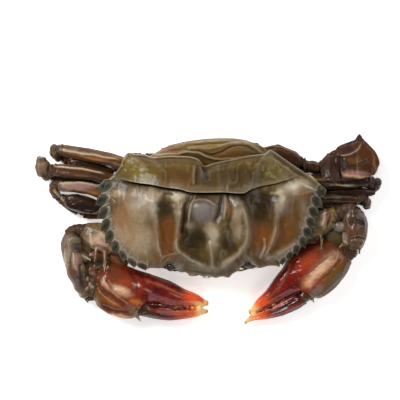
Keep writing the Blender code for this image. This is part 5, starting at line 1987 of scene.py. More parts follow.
@dataclass
class Head:
    """The eyes, feelers, mouthparts and the brow wall under the front margin."""

    antenna_path: tuple[Point3, ...] = (
        (9.6, -16.0, 12.4), (13.0, -16.9, 12.0), (17.6, -15.6, 11.4), (22.6, -13.2, 10.4))
    antenna_radius: float = 0.42
    antennule_path: tuple[Point3, ...] = (
        (4.2, -17.4, 13.4), (3.8, -18.1, 12.8), (2.2, -18.4, 12.5), (1.3, -18.2, 13.2))
    brow_path: tuple[Point3, ...] = (
        (-20.6, -12.6, 12.7), (-14.6, -11.8, 12.6), (-9.6, -15.0, 13.2), (-3.0, -16.6, 13.4),
        (3.0, -17.1, 13.4), (9.4, -15.8, 13.2), (15.8, -10.8, 12.6), (22.6, -12.2, 12.7))

    def build(self) -> list[bpy.types.Object]:
        """Build every piece of the head.

        Returns:
            The new pieces.
        """
        pieces = [self._brow()]
        for side, x in ((Side.RIGHT, -14.4), (Side.LEFT, 16.4)):
            # The dark patch is painted shade in the socket's recess.
            marks = patches(dark=(x, -14.6, 5.0, 4.0, 0.9), dusk=(x + 2.4, -15.6, 1.6, 1.6, 0.7))
            socket = Lobe(f"head_socket_{side.value}", (x, -13.7, 11.4), (4.2, 2.7, 2.2), SHELL_FINISH,
                          Slot.SHELL, marks, seed=20)
            pieces += [Eye(side, EYE_FINISH).build(), self._antenna(side), self._antennule(side),
                       self._mouthpart(side), self._palp(side), socket.build()]
        return pieces

    @staticmethod
    def _laid(rows: Sequence[Point3], side: Side, steps: int) -> tuple[Array, Array]:
        """Lay a path on one side of the head.

        Args:
            rows: Points of the path on the left side.
            side: Side of the crab.
            steps: Readings for each span.

        Returns:
            The path in the frame, and the share of it that each point has reached.
        """
        path = smooth_rows(rows, steps) * (side.hand, 1, 1) + PLAN_SHIFT
        return path, np.linspace(0.0, 1.0, len(path))

    def _brow(self) -> bpy.types.Object:
        """Build the wall between the front margin and the mouth.

        Returns:
            The new piece.
        """
        path, t = self._laid(self.brow_path, Side.LEFT, 9)
        thick = 1.15 * np.sin(np.clip(t * (1 - t) * 14.0, 0.0, 1.0) * math.pi / 2) + 0.2
        skin = tube(path, np.column_stack([thick, thick * 1.05]), 22)
        skin.swollen(0.14 * Noise(2.0, 81, 2).at(skin.points)).shade_relief(0.05, 3)
        return skin.to_piece("head_brow_wall", BELLY_FINISH, Slot.BELLY)

    def _antenna(self, side: Side) -> bpy.types.Object:
        """Build a ringed feeler on its thick base.

        Args:
            side: Side of the crab.

        Returns:
            The new piece.
        """
        path, t = self._laid(self.antenna_path, side, 40)
        rings = np.cos(t * math.pi * 2 * 34)
        base = 1.0 + bell(t - 0.05, 0.07) + 0.6 * bell(t - 0.16, 0.05)
        radius = self.antenna_radius * base * (1.0 - 0.45 * t) * (1.0 + 0.08 * rings)
        skin = tube(path, np.minimum(radius, 0.95), 14, {"pleat": np.clip(-rings, 0, 1), "along": t})
        name = "antenna_" + side.value
        return skin.to_piece("feeler_" + side.value, WHISKER_FINISH, Slot.WHISKER, [name])

    def _antennule(self, side: Side) -> bpy.types.Object:
        """Build a small folded feeler under the front margin.

        Args:
            side: Side of the crab.

        Returns:
            The new piece.
        """
        path, t = self._laid(self.antennule_path, side, 14)
        radius = 0.62 * (1.0 - 0.7 * t) * (1.0 + 0.07 * np.cos(t * 60.0))
        skin = tube(path, radius, 12, {"along": t})
        return skin.to_piece("antennule_" + side.value, WHISKER_FINISH, Slot.WHISKER)

    def _mouthpart(self, side: Side) -> bpy.types.Object:
        """Build one outer mouth plate with its joints and its long groove.

        Args:
            side: Side of the crab.

        Returns:
            The new piece.
        """
        node = "maxilliped_" + side.value
        skin = even_skin(node, 0.24).relaxed(12, 0.5, 0.3)
        low, high = node_box(node)
        x, _, z = ((skin.points - low) / (high - low)).T
        x = x if side is Side.LEFT else 1.0 - x
        depth = 0.3 * bell(x - 0.42, 0.08) * ramp(z, 0.02, 0.2)
        depth = np.maximum(depth, 0.38 * bell(z - 0.66 - 0.1 * (x - 0.5), 0.03))
        depth = np.maximum(depth, 0.3 * bell(z - 0.28, 0.03))
        depth -= 0.08 * Noise(1.6, 83, 2).at(skin.points) + 0.02 * Noise(0.5, 84, 2).at(skin.points)
        skin.grooved(depth, 0.3).masks["warm"] = ramp(z, 0.7, 1.0) * 0.7
        return skin.shade_relief(0.04).to_piece("mouth_plate_" + side.value, BELLY_FINISH, Slot.BELLY, [node])

    def _palp(self, side: Side) -> bpy.types.Object:
        """Build the small palp that folds down from the mouth plate's outer corner.

        Args:
            side: Side of the crab.

        Returns:
            The new piece.
        """
        low, high = node_box("maxilliped_" + side.value)
        corner = np.array((high[0] if side is Side.LEFT else low[0], low[1], high[2]))
        rows = ((-1.2, 0.5, -1.6), (-2.2, 0.15, -0.6), (-3.9, 0.1, -1.5), (-4.8, 0.3, -4.2))
        path = smooth_rows(corner + np.array(rows) * (side.hand, 1, 1), 10)
        t = np.linspace(0.0, 1.0, len(path))
        radius = 0.75 * (1.0 - 0.6 * t) * (1.0 - 0.22 * bell(np.mod(t * 3.0, 1.0) - 0.5, 0.12))
        skin = tube(path, radius, 14).shade_relief(0.04, 3)
        return skin.to_piece("mouth_palp_" + side.value, BELLY_FINISH, Slot.BELLY)


@dataclass
class SideSkin:
    """The soft wall under the toothed margin, between the shell and the limbs."""

    shell: Carapace
    finish: Finish
    inset: float = 5.2
    level: float = 12.5
    half: Point2 = (3.4, 1.35)

    def build(self) -> list[bpy.types.Object]:
        """Build the wall on both sides.

        Returns:
            The new pieces.
        """
        pieces = []
        for side in Side:
            line = smooth_rows(self.shell.margin(side), 10)
            way = unit(np.gradient(line, axis=0))
            inner = line + np.stack([-way[:, 1], way[:, 0]], axis=1) * self.inset
            path = np.column_stack([inner, np.full(len(inner), self.level)]) + PLAN_SHIFT
            t = np.linspace(0.0, 1.0, len(path))[:, None]
            taper = np.sin(np.clip(t * (1 - t) * 12.0, 0.02, 1.0) * math.pi / 2)
            skin = tube(path, taper * self.half, 26)
            skin.swollen(0.25 * Noise(2.2, 91, 2).at(skin.points)).shade_relief(0.05, 3)
            pieces.append(skin.to_piece("side_wall_" + side.value, self.finish, Slot.BELLY))
        return pieces


# ---------------------------------------------------------------- limbs of this crab

@dataclass
class Claw:
    """One cheliped: upper arm, wrist, palm with its fixed finger, moving finger, spines and soft parts."""

    side: Side
    arm: Look
    wrist: Look
    palm: Look
    finger: Look
    thorns: tuple[Thorn, ...]
    lobes: tuple[Lobe, ...]
    tooth_row: tuple[Point3, ...]
    palm_finish: Finish = PALM_FINISH
    neck: Point3 = (0.5, 0.2, 0.0)
    tip_reach: Point2 = (7.0, 7.0)
    tooth_pitch: float = 2.1
    tooth_height: float = 0.2
    fill: float = 0.34

    def node(self, part: str) -> str:
        """Give the name of one of the claw's solids."""
        return f"claw_{self.side.value}_{part}"

    def _gape(self, skin: Surface, axis: LimbAxis, moving: bool) -> None:
        """Swell the edge of a finger that faces the other one, and set low uneven teeth on it.

        Args:
            skin: Surface of the segment.
            axis: Axis of the segment.
            moving: Whether it is the moving finger.
        """
        palm, finger = (sum(node_box(self.node(part))) / 2 for part in ("palm", "finger"))
        way = unit(np.cross((0.0, 0.0, 1.0), axis.along))
        if (finger - palm) @ way * (-1 if moving else 1) < 0:
            way = -way
        reach = (node_points(self.node("finger")) - axis.start) @ axis.along
        begin = 1.0 if moving else max(reach.min(), 0.0)
        along = (skin.points - axis.start) @ axis.along
        zone = ramp(along, begin + 0.5, begin + 2.0) * ramp(along, axis.length - 0.6, axis.length - 2.2)
        facing = ramp(skin.normals() @ way, 0.45, 0.9) * zone
        wander = 2.4 * Noise(5.0, 61).at(skin.points)
        wave = 0.5 + 0.5 * np.cos(2 * math.pi * (along - begin) / self.tooth_pitch + wander)
        tall = self.tooth_height * (0.6 + 0.4 * Noise(3.0, 63).at(skin.points))
        skin.swollen(facing * (self.fill + tall * (wave ** 0.7 - 0.4)))
        raise_mask(skin.masks, "maroon", 0.6 * facing * (1.0 - 0.5 * wave))

    def _tips(self, segment: Segment, skin: Surface, axis: LimbAxis) -> None:
        """Run the red from the brown hand to orange and cream fingertips, and set the gape's teeth.

        Args:
            segment: The palm or the moving finger.
            skin: Its surface.
            axis: Its axis.
        """
        moving = segment.node == self.node("finger")
        self._gape(skin, axis, moving)
        from_tip = axis.length - (skin.points - axis.start) @ axis.along
        uneven = 1.8 * Noise(3.4, 17, 2).at(skin.points)
        share = 1.0 - from_tip / axis.length
        if not moving:
            place, reach, amount = self.neck
            back = np.array((-axis.along[1], axis.along[0], 0.0)) * -self.side.hand
            outer = ramp(skin.normals() @ back, -0.2, 0.8)
            skin.points = skin.points + back * (amount * outer * bell(share - place, reach))[:, None]
            raise_mask(skin.masks, "brown", 0.85 * ramp(share + uneven * 0.02, 0.5, 0.12))
        reach = self.tip_reach[moving]
        raise_mask(skin.masks, "orange", ramp(from_tip + uneven, 14.0, 6.0))
        raise_mask(skin.masks, "tip", ramp(from_tip + uneven, reach, 0.3 * reach))

    def _tooth_row(self) -> bpy.types.Object:
        """Build the blunt crushing teeth, which fill the narrow gape between the two fingers.

        Returns:
            The new piece.
        """
        path = smooth_rows(np.array(self.tooth_row) + PLAN_SHIFT, 16)
        t = np.linspace(0.0, 1.0, len(path))[:, None]
        knobs = 1.0 + 0.16 * np.cos(t * 46.0 + 2.0 * np.sin(t * 9.0))
        halves = np.hstack([1.25 + 0.05 * t, 2.0 - 0.5 * t]) * knobs * ramp(1.04 - t, 0.0, 0.12)
        skin = tube(path, np.maximum(halves, 0.1), 24, {"tip": t[:, 0]})
        skin.swollen(0.2 * Noise(1.5, 81, 2).at(skin.points))
        place, spots = skin.masks["tip"], Noise(2.0, 83).at(skin.points)
        warm = 0.6 * ramp(spots, 0.0, 0.4) * ramp(place, 0.1, 0.3)
        skin.masks = {"maroon": 0.6 * ramp(place, 0.9, 0.5), "tip": ramp(place, 0.78, 0.92),
                      "gold": 0.4 * ramp(-spots, 0.2, 0.5) * ramp(place, 0.2, 0.4),
                      "orange": np.maximum(ramp(place, 0.6, 0.9), warm)}
        skin.settled(LOW_SKIN).shade_relief(0.05, 3)
        return skin.to_piece(self.node("tooth_row"), FINGER_FINISH, Slot.FINGER)

    def _segments(self) -> list[Segment]:
        """Plan the claw's four segments, from the body outwards.

        Returns:
            The segments.
        """
        home = np.array((0.0, 4.0, 8.0)) + PLAN_SHIFT
        arm = Segment(self.node("arm"), self.node("upper_arm"), ARM_FINISH, Slot.ARM, home,
                      Relief((50.0,), 0.2, 0.0, 0.25, 0.5, 0.06, 0.015, 22), self.arm, 3)
        wrist = Segment(self.node("wrist"), self.node("wrist_shell"), WRIST_FINISH, Slot.WRIST,
                        arm.axis().centre(1.0), Relief((), 0.0, 0.0, 0.1, 0.6, 0.06, 0.015, 18),
                        self.wrist, 7)
        base = wrist.axis().centre(1.0)
        palm = Segment(self.node("palm"), self.node("palm_and_finger"), self.palm_finish, Slot.PALM, base,
                       Relief((66.0,), 0.2, 0.0, 0.2, 0.5, 0.05, 0.012, 22), self.palm, 11, extra=self._tips)
        finger = Segment(self.node("finger"), self.node("moving_finger"), FINGER_FINISH, Slot.FINGER, base,
                         Relief((70.0,), 0.2, 0.1, 0.1, 0.18, 0.04, 0.01, 22), self.finger, 19, 0.26,
                         self._tips)
        return [arm, wrist, palm, finger]

    def build(self) -> list[bpy.types.Object]:
        """Build every piece of the claw.

        Returns:
            The new pieces.
        """
        segments = self._segments()
        pieces = [segment.build() for segment in segments]
        axes = [segment.axis() for segment in segments[:3]]
        pieces += [JointSkin(self.node(f"joint_skin_{number}"), inner, outer, Slot.ARM).build()
                   for number, (inner, outer) in enumerate(zip(axes, axes[1:]))]
        pieces += [lobe.build() for lobe in self.lobes] + [self._tooth_row()]
        spines = Surface.joined([thorn.surface() for thorn in self.thorns])
        return pieces + [spines.to_piece(self.node("spines"), THORN_FINISH, Slot.WRIST)]


@dataclass
class Leg:
    """One walking or swimming leg: its segments in order, with soft skin between them and a root."""

    name: str
    parts: tuple[str, ...]
    root: Point3
    seed: int
    look: Look
    lobes: tuple[Lobe, ...] = ()
    blade: bool = False
    bare_joints: tuple[int, ...] = ()

    def _segment(self, part: str, away_from: Array, number: int) -> Segment:
        """Plan one segment.

        Args:
            part: Name of the segment.
            away_from: A place on the body's side of it.
            number: Its place in the leg.

        Returns:
            The segment.
        """
        flat = part == "paddle" or (self.blade and part == "propodus")
        finish = BLADE_FINISH if self.blade else LEG_FINISH
        slot, kind, extra, cell = Slot.LEG, "shell", None, 0.27
        relief = Relief((64.0,), 0.22, 0.0, 0.2, 0.22, 0.04, 0.012, 18)
        if flat:
            slot, kind, extra, cell = Slot.BLADE, "blade", self._vein, 0.22
            relief = Relief((), 0.0, 0.0, 0.1, 0.26, 0.05, 0.012, 8)
        elif part == "dactyl":
            relief = Relief((90.0,), 0.1, 0.0, 0.1, 0.06, 0.03, 0.01, 8)
        node = f"{self.name}_{part}"
        return Segment(node, f"{node}_{kind}", finish, slot, away_from, relief, self.look, self.seed + number,
                       cell, extra)

    def _vein(self, segment: Segment, skin: Surface, axis: LimbAxis) -> None:
        """Give a swimming blade its midrib, folds and fringe groove.

        Args:
            segment: The blade, as every extra takes it.
            skin: Its surface.
            axis: Its axis.
        """
        share, _, local = axis.unroll(skin.points)
        upper = ramp(skin.normals()[:, 2], -0.1, 0.4)
        middle, half = axis.section(share)
        off = (local[:, 1] - middle[:, 0]) / np.maximum(half[:, 0], 0.5)
        rib = bell(off - 0.08 * np.sin(share * 7.0), 0.09)
        fold = np.cos(off * 9.0 + 3.0 * share + 1.5 * Noise(3.0, 7, 2).at(local))
        skin.swollen(upper * (0.25 * rib + 0.08 * fold - 0.22 * bell(np.abs(off) - 0.82, 0.07)))
        # keel lightens the midrib and the fold crests as a painted highlight.
        skin.masks["keel"] = np.maximum(rib * 0.8, bell(fold - 1.0, 0.25) * 0.35) * upper

    def _base(self, axis: LimbAxis, inner: Array) -> bpy.types.Object:
        """Build the short basal segments by which the leg leaves the breastplate.

        Args:
            axis: Axis of the leg's first segment.
            inner: A place inside the breastplate.

        Returns:
            The new piece.
        """
        outer = axis.centre(min(0.16, 2.4 / axis.length))
        _, half = axis.section(0.2)
        t = np.linspace(0.0, 1.0, 30)[:, None]
        waves = 1.0 + 0.12 * np.cos(t * math.pi * 4.0 + 0.6) - 0.05 * bell(np.mod(t * 2.0, 1.0) - 0.62, 0.06)
        size = (half * 1.08 + (1.0 - t) * 0.7) * waves * ramp(1.02 - t, 0.0, 0.2)
        skin = tube(inner + (outer - inner) * t, np.maximum(size, 0.2), 28)
        skin.swollen(0.12 * Noise(1.8, 33, 2).at(skin.points)).settled(LOW_SKIN).shade_relief(0.05, 3)
        return skin.to_piece(f"{self.name}_root", BELLY_FINISH, Slot.BELLY)

    def build(self) -> list[bpy.types.Object]:
        """Build the leg.

        Returns:
            The new pieces.
        """
        inner = away = np.array(self.root) + PLAN_SHIFT
        segments = []
        for number, part in enumerate(self.parts):
            segments.append(self._segment(part, away, number))
            away = segments[-1].axis().centre(0.85)
        pieces = [segment.build() for segment in segments]
        axes = [segment.axis() for segment in segments]
        pieces += [JointSkin(f"{self.name}_joint_skin_{number}", one, two, Slot.LEG, depth=0.9).build()
                   for number, (one, two) in enumerate(zip(axes, axes[1:])) if number not in self.bare_joints]
        return pieces + [lobe.build() for lobe in self.lobes] + [self._base(axes[0], inner)]


RIGHT_ARM = Look(
    patches(pink=(-43, -5.6, 4.6, 3.8), pale=(-40.6, -2.4, 3, 1.4, 0.8), warm=(-42, -9.6, 5.4, 1.7, 0.9),
        dark=((-36.4, -12, 5, 1.8, 0.8, -20), (-47.8, -8.6, 1.2, 2.4, 0.6)),
        olive=(-48.4, -1.6, 2.6, 1.8, 0.6)),
    folds(ridges=((0.3, 0.8, 0.7, 0.4, (-46.6, -1.6), (-46, -5.4), (-45.8, -9.4)),
        (0.25, 0.7, 0.4, 0.35, (-49, 0.6), (-44, -1), (-37, -3.4))),
        creases=((-0.4, 0.7, 0.5, 0.5, (-46.6, -7.6), (-42.8, -7.4), (-38.8, -9.4)),)),
    swellings((-42.6, -4.6, 3, 2.4, 0.6), (-48.6, -3, 2, 1.8, 0.5)))

# The wrist's pink patch is a painted highlight on its middle bump.
RIGHT_WRIST = Look(
    patches(dark=((-51.2, -8.7, 2.4, 1.2, 0.95, -20), (-50.2, -21.8, 1.1, 2.4, 0.95, 20),
        (-48.6, -12.6, 1.4, 1.2, 0.6)), dusk=((-52.4, -8, 1.4, 1, 0.8), (-51.8, -22.2, 1.4, 3, 0.9)),
        pink=(-52.2, -13.6, 1.6, 3.6, 0.6, 10), olive=(-49.2, -17.8, 1.6, 2, 0.9),
        pale=(-55.8, -12, 1, 7.6, 0.6, -8), gold=(-54.4, -5, 1.8, 1.8, 0.6),
        warm=(-54.4, -17.4, 1.6, 2.8, 0.6)),
    folds(ridges=((0.3, 0.6, 0.9, 0.4, (-49.6, -4.1), (-46.8, -5.3), (-46.4, -8.7), (-46, -10.3)),
        (0.35, 0.6, 0.9, 0.4, (-49.8, -10.6), (-48.5, -12.7), (-46, -12.2)),
        (0.2, 0.6, 0.55, 0.45, (-56.8, -8), (-56.6, -14), (-54.8, -20), (-52.6, -24.6)),
        (0.3, 0.6, 0.45, 0.3, (-53.4, -9.6), (-52.8, -13.6), (-51.8, -17.4)),
        (0.3, 0.6, 0.6, 0.35, (-53.4, -22), (-51.6, -25.4), (-49.4, -27))),
        creases=((-0.5, 0.7, 0.7, 0.45, (-50.6, -14), (-50.8, -17), (-50, -20)),
        (-0.4, 0.5, 0.6, 0.35, (-52.8, -19.4), (-50.8, -20), (-49.2, -19.4)))),
    swellings((-54.6, -5, 1.9, 1.9, 0.8), (-51.2, -8.7, 2.2, 1.1, -0.8), (-52.4, -13.4, 1.7, 2.8, 0.8),
        (-49.4, -17.6, 1.5, 1.9, 0.7), (-50.4, -21.8, 0.9, 2.2, -0.8), (-54.6, -18, 1.5, 2.2, 0.5),
        (-51.8, -24, 1.4, 1.4, 0.6), (-48.6, -13.6, 1.4, 1.5, -0.5)))

# The cream patches at (-34.2, -25), (-28.2, -22.5), (-23.8, -24.6) and (-12, -27) are painted highlights; the
# other cream patches are the palm's own pale colour.
RIGHT_PALM = Look(
    patches(brown=((-39, -18.4, 7, 3.6, 1, -12), (-43.4, -22.4, 3, 4.4, 0.9),
        (-36, -31.4, 4.6, 1.9, 0.9, -24)), olive=((-44.4, -27.4, 2.2, 4.4, 1, 20), (-29, -33.8, 3.2, 2.3)),
        gold=((-37.8, -29.8, 4.2, 1.7, 0.4, -34), (-28, -29.6, 2.8, 1.1, 1, -12)),
        cream=((-34.2, -25, 3.9, 1.8, 1, -24), (-40.6, -22.6, 0.9, 2.6, 0.7, 28),
        (-35.8, -34.9, 5.4, 1, 1, -6), (-28.2, -22.5, 1.5, 0.5, 0.7, -24),
        (-23.8, -24.6, 1.7, 0.5, 0.7, -20), (-12, -27, 2.4, 0.3, 0.5, -18)),
        maroon=((-27, -18.6, 4, 1.3, 0.9, -16), (-20, -25.6, 5, 2.2, 0.8, -16),
        (-15.4, -22.2, 7, 0.9, 0.7, -27)), tip=(-2.4, -30.9, 3.6, 0.9, 1, -14),
        orange=(-33.4, -21, 3.4, 1.8, 0.35, -20)),
    folds(ridges=((0.14, 0.35, 0.7, 0.22, (-41.6, -19.6), (-40.2, -23), (-37.6, -25.6), (-34, -28.4),
        (-31.2, -30.2)), (0.14, 0.35, 0.6, 0.22, (-44.4, -22), (-42.2, -26), (-38, -29.4), (-34.2, -31.4)),
        (0.14, 0.35, 0.6, 0.22, (-39.6, -20.4), (-38, -22.8), (-35.6, -24)),
        (0.2, 0.5, 0.7, 0.45, (-41, -33.4), (-36.6, -35.4), (-31.4, -35.6)),
        (0.35, 0.9, 0.2, 0.4, (-25.6, -20.4), (-18, -23.4), (-9, -27.2))),
        creases=((-0.2, 0.4, 0.4, 0.24, (-43.2, -20.4), (-41.2, -24.6), (-37.8, -27.6), (-33, -30.6)),
        (-0.35, 0.6, 0.6, 0.4, (-42.4, -30.4), (-38, -32.6), (-31, -33.6)),
        (-0.4, 1, 0.3, 0.5, (-31, -17), (-28.4, -21), (-27.6, -26)))),
    swellings((-41, -21.6, 3, 3, 0.5), (-35, -25.4, 3, 2, 0.6), (-41.4, -29.4, 2.4, 2, 0.4),
        (-33.4, -30.6, 2.4, 1.4, 0.35), (-22.4, -23.4, 2.4, 1.4, 0.3), (-28.6, -24, 1.4, 2, -0.3)))

# The cream streak on the moving finger is a painted highlight.
RIGHT_FINGER = Look(
    patches(olive=((-24, -33.4, 3.4, 3), (-20.6, -35.2, 3.4, 0.9, 0.7)), maroon=(-16, -33.4, 5, 1.6, 0.6),
        cream=(-16.4, -32.6, 2.6, 0.5, 0.6, -10), orange=(-9.4, -34.8, 5, 1.2, 0.75)),
    folds(ridges=((0.2, 0.5, 0.3, 0.3, (-21, -33.2), (-14, -33.8), (-7, -33.4)),),
        creases=((-0.25, 0.45, 0.5, 0.35, (-20, -34.9), (-13, -35.3), (-7, -34.7)),)))

RIGHT_LOBES = (
    Lobe("claw_right_armpit", (-43.4, -12.4, 6.2), (6, 4.6, 3.2), ARM_FINISH, Slot.ARM,
         patches(warm=(-44.8, -9.6, 6, 3.4, 0.9), dark=(-44, -13.6, 6, 2.6)), seed=1),
    Lobe("claw_right_margin_fold", (-35.8, -12.4, 6.4), (4.6, 2.4, 2.8), ARM_FINISH, Slot.ARM,
         patches(warm=(-36.6, -12, 5, 3, 0.9), dark=(-33, -13, 2.4, 3, 0.8)), turn=-24, seed=18),
    Lobe("claw_right_elbow_fold", (-48.4, -7.4, 6.4), (3.2, 3.8, 3.2), WRIST_FINISH, Slot.WRIST,
         patches(olive=(-48.4, -7.4, 5, 5, 0.8)), seed=9),
    # The hinge fold's pink and pale patches are painted highlights on its lumps.
    Lobe("claw_right_hinge_fold", (-46.2, -20.6, 5.4), (2.7, 7.4, 4), WRIST_FINISH, Slot.WRIST,
         patches(warm=(-46.4, -15.4, 4, 3, 0.9), olive=(-46.4, -25, 4, 2.6, 0.9),
             pink=((-47.6, -21.6, 1.4, 0.9, 0.9, 30), (-45.6, -18, 1, 0.9, 0.6)),
             pale=(-46.2, -23.4, 1.1, 0.8, 0.8, -20), dark=(-46.6, -19.4, 1.6, 0.8, 0.9)), dents=0.5, seed=2),
    Lobe("claw_right_elbow_knob", (-52.8, -5, 10.8), (2.5, 2, 2.1), WRIST_FINISH, Slot.WRIST,
         patches(moss=(-53, -4.6, 2.4, 1.8), dark=(-51.4, -6.6, 2, 0.9, 0.6)), turn=-14, dents=0.55, seed=3),
    Lobe("claw_right_hinge_knob", (-48.6, -24, 7.8), (1.9, 1.6, 2), WRIST_FINISH, Slot.WRIST,
         patches(pink=(-49, -23.6, 1.6, 1.2, 0.9), dark=(-48, -25.2, 1.4, 0.7, 0.8)), seed=4),
    Lobe("claw_right_hinge_lump", (-48.4, -20.4, 8.4), (1.6, 1.5, 1.8), WRIST_FINISH, Slot.WRIST,
         patches(pale=(-48.6, -20, 1.2, 0.9, 0.8), dark=(-47.6, -21.6, 1.2, 0.6, 0.7)), seed=20),
    Lobe("claw_right_finger_hinge", (-26, -32.4, 6.2), (4, 2.9, 3.2), FINGER_FINISH, Slot.FINGER,
         patches(olive=(-26.4, -32.2, 5, 4)), turn=-14, dents=0.5, seed=5))

RIGHT_THORNS = (
    Thorn((-48.6, -26.6, 5.6), (-47.6, -30, 5.4), 0.8),
    Thorn((-44.3, -13.2, 8.8), (-45.3, -15.6, 9.4), 0.42, -0.4),
    Thorn((-48.8, -11.4, 10), (-46.4, -13, 10.6), 0.7, 0.4),
    Thorn((-40.6, -13.4, 8.6), (-41, -17.4, 10.4), 0.45, 0.5),
    Thorn((-28.8, -34.4, 6.2), (-26.3, -37.7, 6), 1.2),
    Thorn((-28.6, -30.6, 9.6), (-26.6, -31.4, 12), 0.8))

LEFT_ARM = Look(
    patches(gold=(50.6, 8, 3.4, 2.6, 0.95), warm=(47.8, 4.6, 1.8, 3, 0.8), pale=(54, 5, 1.6, 1.2, 0.8),
        dark=((53.8, 3.3, 1.4, 1.2, 0.9), (41.4, -4.8, 3.4, 2, 0.8)), dusk=(51.8, 0.2, 2, 1.5, 0.95),
        olive=(47.6, -3.6, 3, 2.6, 0.8), pink=(46.6, 5, 1.2, 4.6, 0.9, 5)),
    folds(ridges=((0.3, 0.6, 0.85, 0.45, (47.4, 9.4), (46.8, 5), (46, 0.6)),),
        creases=((-0.4, 0.6, 0.6, 0.35, (49.4, 7), (49, 3.4), (48, 0)),
        (-0.4, 0.6, 0.7, 0.4, (50, 2.4), (52.4, 2), (54.6, 3)))),
    swellings((51.8, 0.2, 1.7, 1.4, 0.8), (50.4, 7.6, 2.4, 2.4, 0.5), (53.8, 3.4, 1.2, 1, -0.7)))

# The wrist's pale patch is a painted highlight.
LEFT_WRIST = Look(
    patches(warm=(58.2, -1.4, 2.4, 4.6, 0.6, 12), dark=((59.6, 3.6, 4, 4, 0.75), (60.8, -7.4, 2, 2.4, 0.5),
        (57.1, -11.2, 2, 1.3, 0.95), (62.6, 2.2, 1.4, 3, 0.7)), pale=(55.2, -4.2, 0.8, 1.6, 0.5),
        olive=(56, -8.6, 3, 1.9, 0.95), gold=(60.6, -6, 2, 2, 0.4)),
    folds(ridges=((0.3, 0.5, 0.5, 0.3, (54.8, -1.5), (54.8, -4.6), (56.6, -6.4)),
        (0.2, 0.4, 0.4, 0.2, (56.6, -4), (60.4, -2.9), (63, -3.6)),
        (0.2, 0.5, 0.4, 0.22, (56.2, 6.4), (55.8, 3.6), (56.8, 0.6)),
        (0.2, 0.5, 0.3, 0.2, (60.2, 6.8), (62.4, 4.6), (63.4, 1))),
        creases=((-0.6, 0.7, 0.8, 0.35, (57, -4.6), (60.4, -3.6), (63, -4.4)),
        (-0.5, 0.6, 0.7, 0.3, (56.2, 1.6), (59.6, 2.4), (63, 1.4)))),
    swellings((58.8, -1, 2.2, 2, 0.6), (60.6, -5.6, 1.8, 1.8, 0.6), (58, 4.4, 2, 1.8, 0.5),
        (55.6, -7.6, 1.8, 1.6, 0.5), (57.4, -3.6, 1, 1, -0.5)))

LEFT_PALM = Look(
    patches(brown=((50, -8.4, 3.6, 3.2, 1, 45), (46.4, -7.2, 6.4, 2.6, 0.9, 38),
        (41, -19.4, 1.2, 1, 0.6, 40), (45.8, -14.4, 1.2, 0.8, 0.5, 40), (46.4, -11, 4, 1.6, 0.7, 45)),
        cream=((45.4, -16, 7.2, 2.2, 1, 44), (40.4, -21.6, 2.2, 1.7, 0.8, 40)),
        maroon=((38.6, -10.6, 6, 0.9, 0.6, 44), (30, -18.6, 8, 1.4, 0.8, 48), (34.6, -24, 6, 1.4, 0.7, 38)),
        olive=(50, -18.4, 8.6, 2.2, 1, 45), moss=((52, -20.4, 8, 1.4, 1, 46), (43.8, -26.4, 3.4, 2, 1, 40)),
        gold=(39.4, -21.4, 1.8, 2.2, 0.8, -30), orange=(41.6, -12.6, 6, 2.2, 0.5, 42)),
    folds(ridges=((0.14, 0.4, 0.5, 0.24, (52.5, -7.7), (51.5, -12.8), (47.4, -16.6), (43.6, -20.4)),
        (0.25, 0.9, 0.25, 0.2, (34.2, -14.6), (33, -19.4), (27.6, -25.2), (22.4, -29.4))),
        creases=((-0.35, 0.6, 0.6, 0.4, (48.8, -11.4), (44.8, -14.6), (40.6, -18.8)),
        (-0.35, 0.5, 0.6, 0.35, (53.4, -12.4), (49.6, -17.4), (45.6, -21.4)))),
    swellings((48.4, -9, 2.4, 2.4, 0.4), (38, -15, 3.4, 3, 0.4)))

LEFT_FINGER = Look(
    patches(olive=((39.2, -26.4, 2.6, 2.4), (36.4, -31, 4.4, 1, 0.8, 40)),
        maroon=(33.4, -28.8, 7.6, 2.2, 0.9, 38)),
    folds(ridges=((0.25, 0.5, 0.75, 0.35, (39.4, -24.4), (33, -28.6), (25.4, -33.2)),),
        creases=((-0.25, 0.45, 0.5, 0.35, (37, -27.8), (31, -31.6), (25, -34.6)),)))

LEFT_LOBES = (
    Lobe("claw_left_armpit", (51.6, -4.8, 4.9), (5.4, 6, 3.6), ARM_FINISH, Slot.ARM,
         patches(olive=(52, -4, 6, 4, 0.9), dark=(50.6, -7.8, 5, 3, 0.9)), seed=6),
    Lobe("claw_left_margin_fold", (42, -4.8, 6.2), (4, 2.2, 2.8), LEFT_PALM_FINISH, Slot.PALM,
         patches(maroon=(42, -4.8, 6, 4, 0.7), dusk=(40, -4, 2.4, 1.6, 0.5)), seed=18),
    Lobe("claw_left_finger_hinge", (39.8, -26.8, 5.6), (3.6, 2.5, 3), FINGER_FINISH, Slot.FINGER,
         patches(olive=(40.4, -26.8, 5, 4)), turn=38, dents=0.5, seed=7),
    Lobe("claw_left_elbow_knob", (53.2, 0.4, 7.6), (2.8, 2.6, 3), WRIST_FINISH, Slot.WRIST,
         patches(dusk=(53.2, 0.4, 4, 4, 0.8), pale=(54.2, 1, 1.6, 1.2, 0.6)), seed=8))

LEFT_THORNS = (
    Thorn((41.4, -27.4, 6.6), (42.6, -29.6, 6.2), 1.1),
    Thorn((46.1, -4.6, 8.8), (45.6, -8.4, 10.8), 0.4, 0.4),
    Thorn((54.8, -6, 9.4), (52.8, -7.6, 10.4), 0.5),
    Thorn((60.2, -7.6, 9), (60.8, -10.4, 9.6), 0.9))

RIGHT_CLAW = Claw(
    Side.RIGHT, RIGHT_ARM, RIGHT_WRIST, RIGHT_PALM, RIGHT_FINGER, RIGHT_THORNS, RIGHT_LOBES,
    ((-24.0, -30.6, 5.8), (-15.4, -31.2, 5.8), (-8.0, -31.9, 5.0), (-1.4, -32.5, 4.2)), tip_reach=(2.6, 8.4))

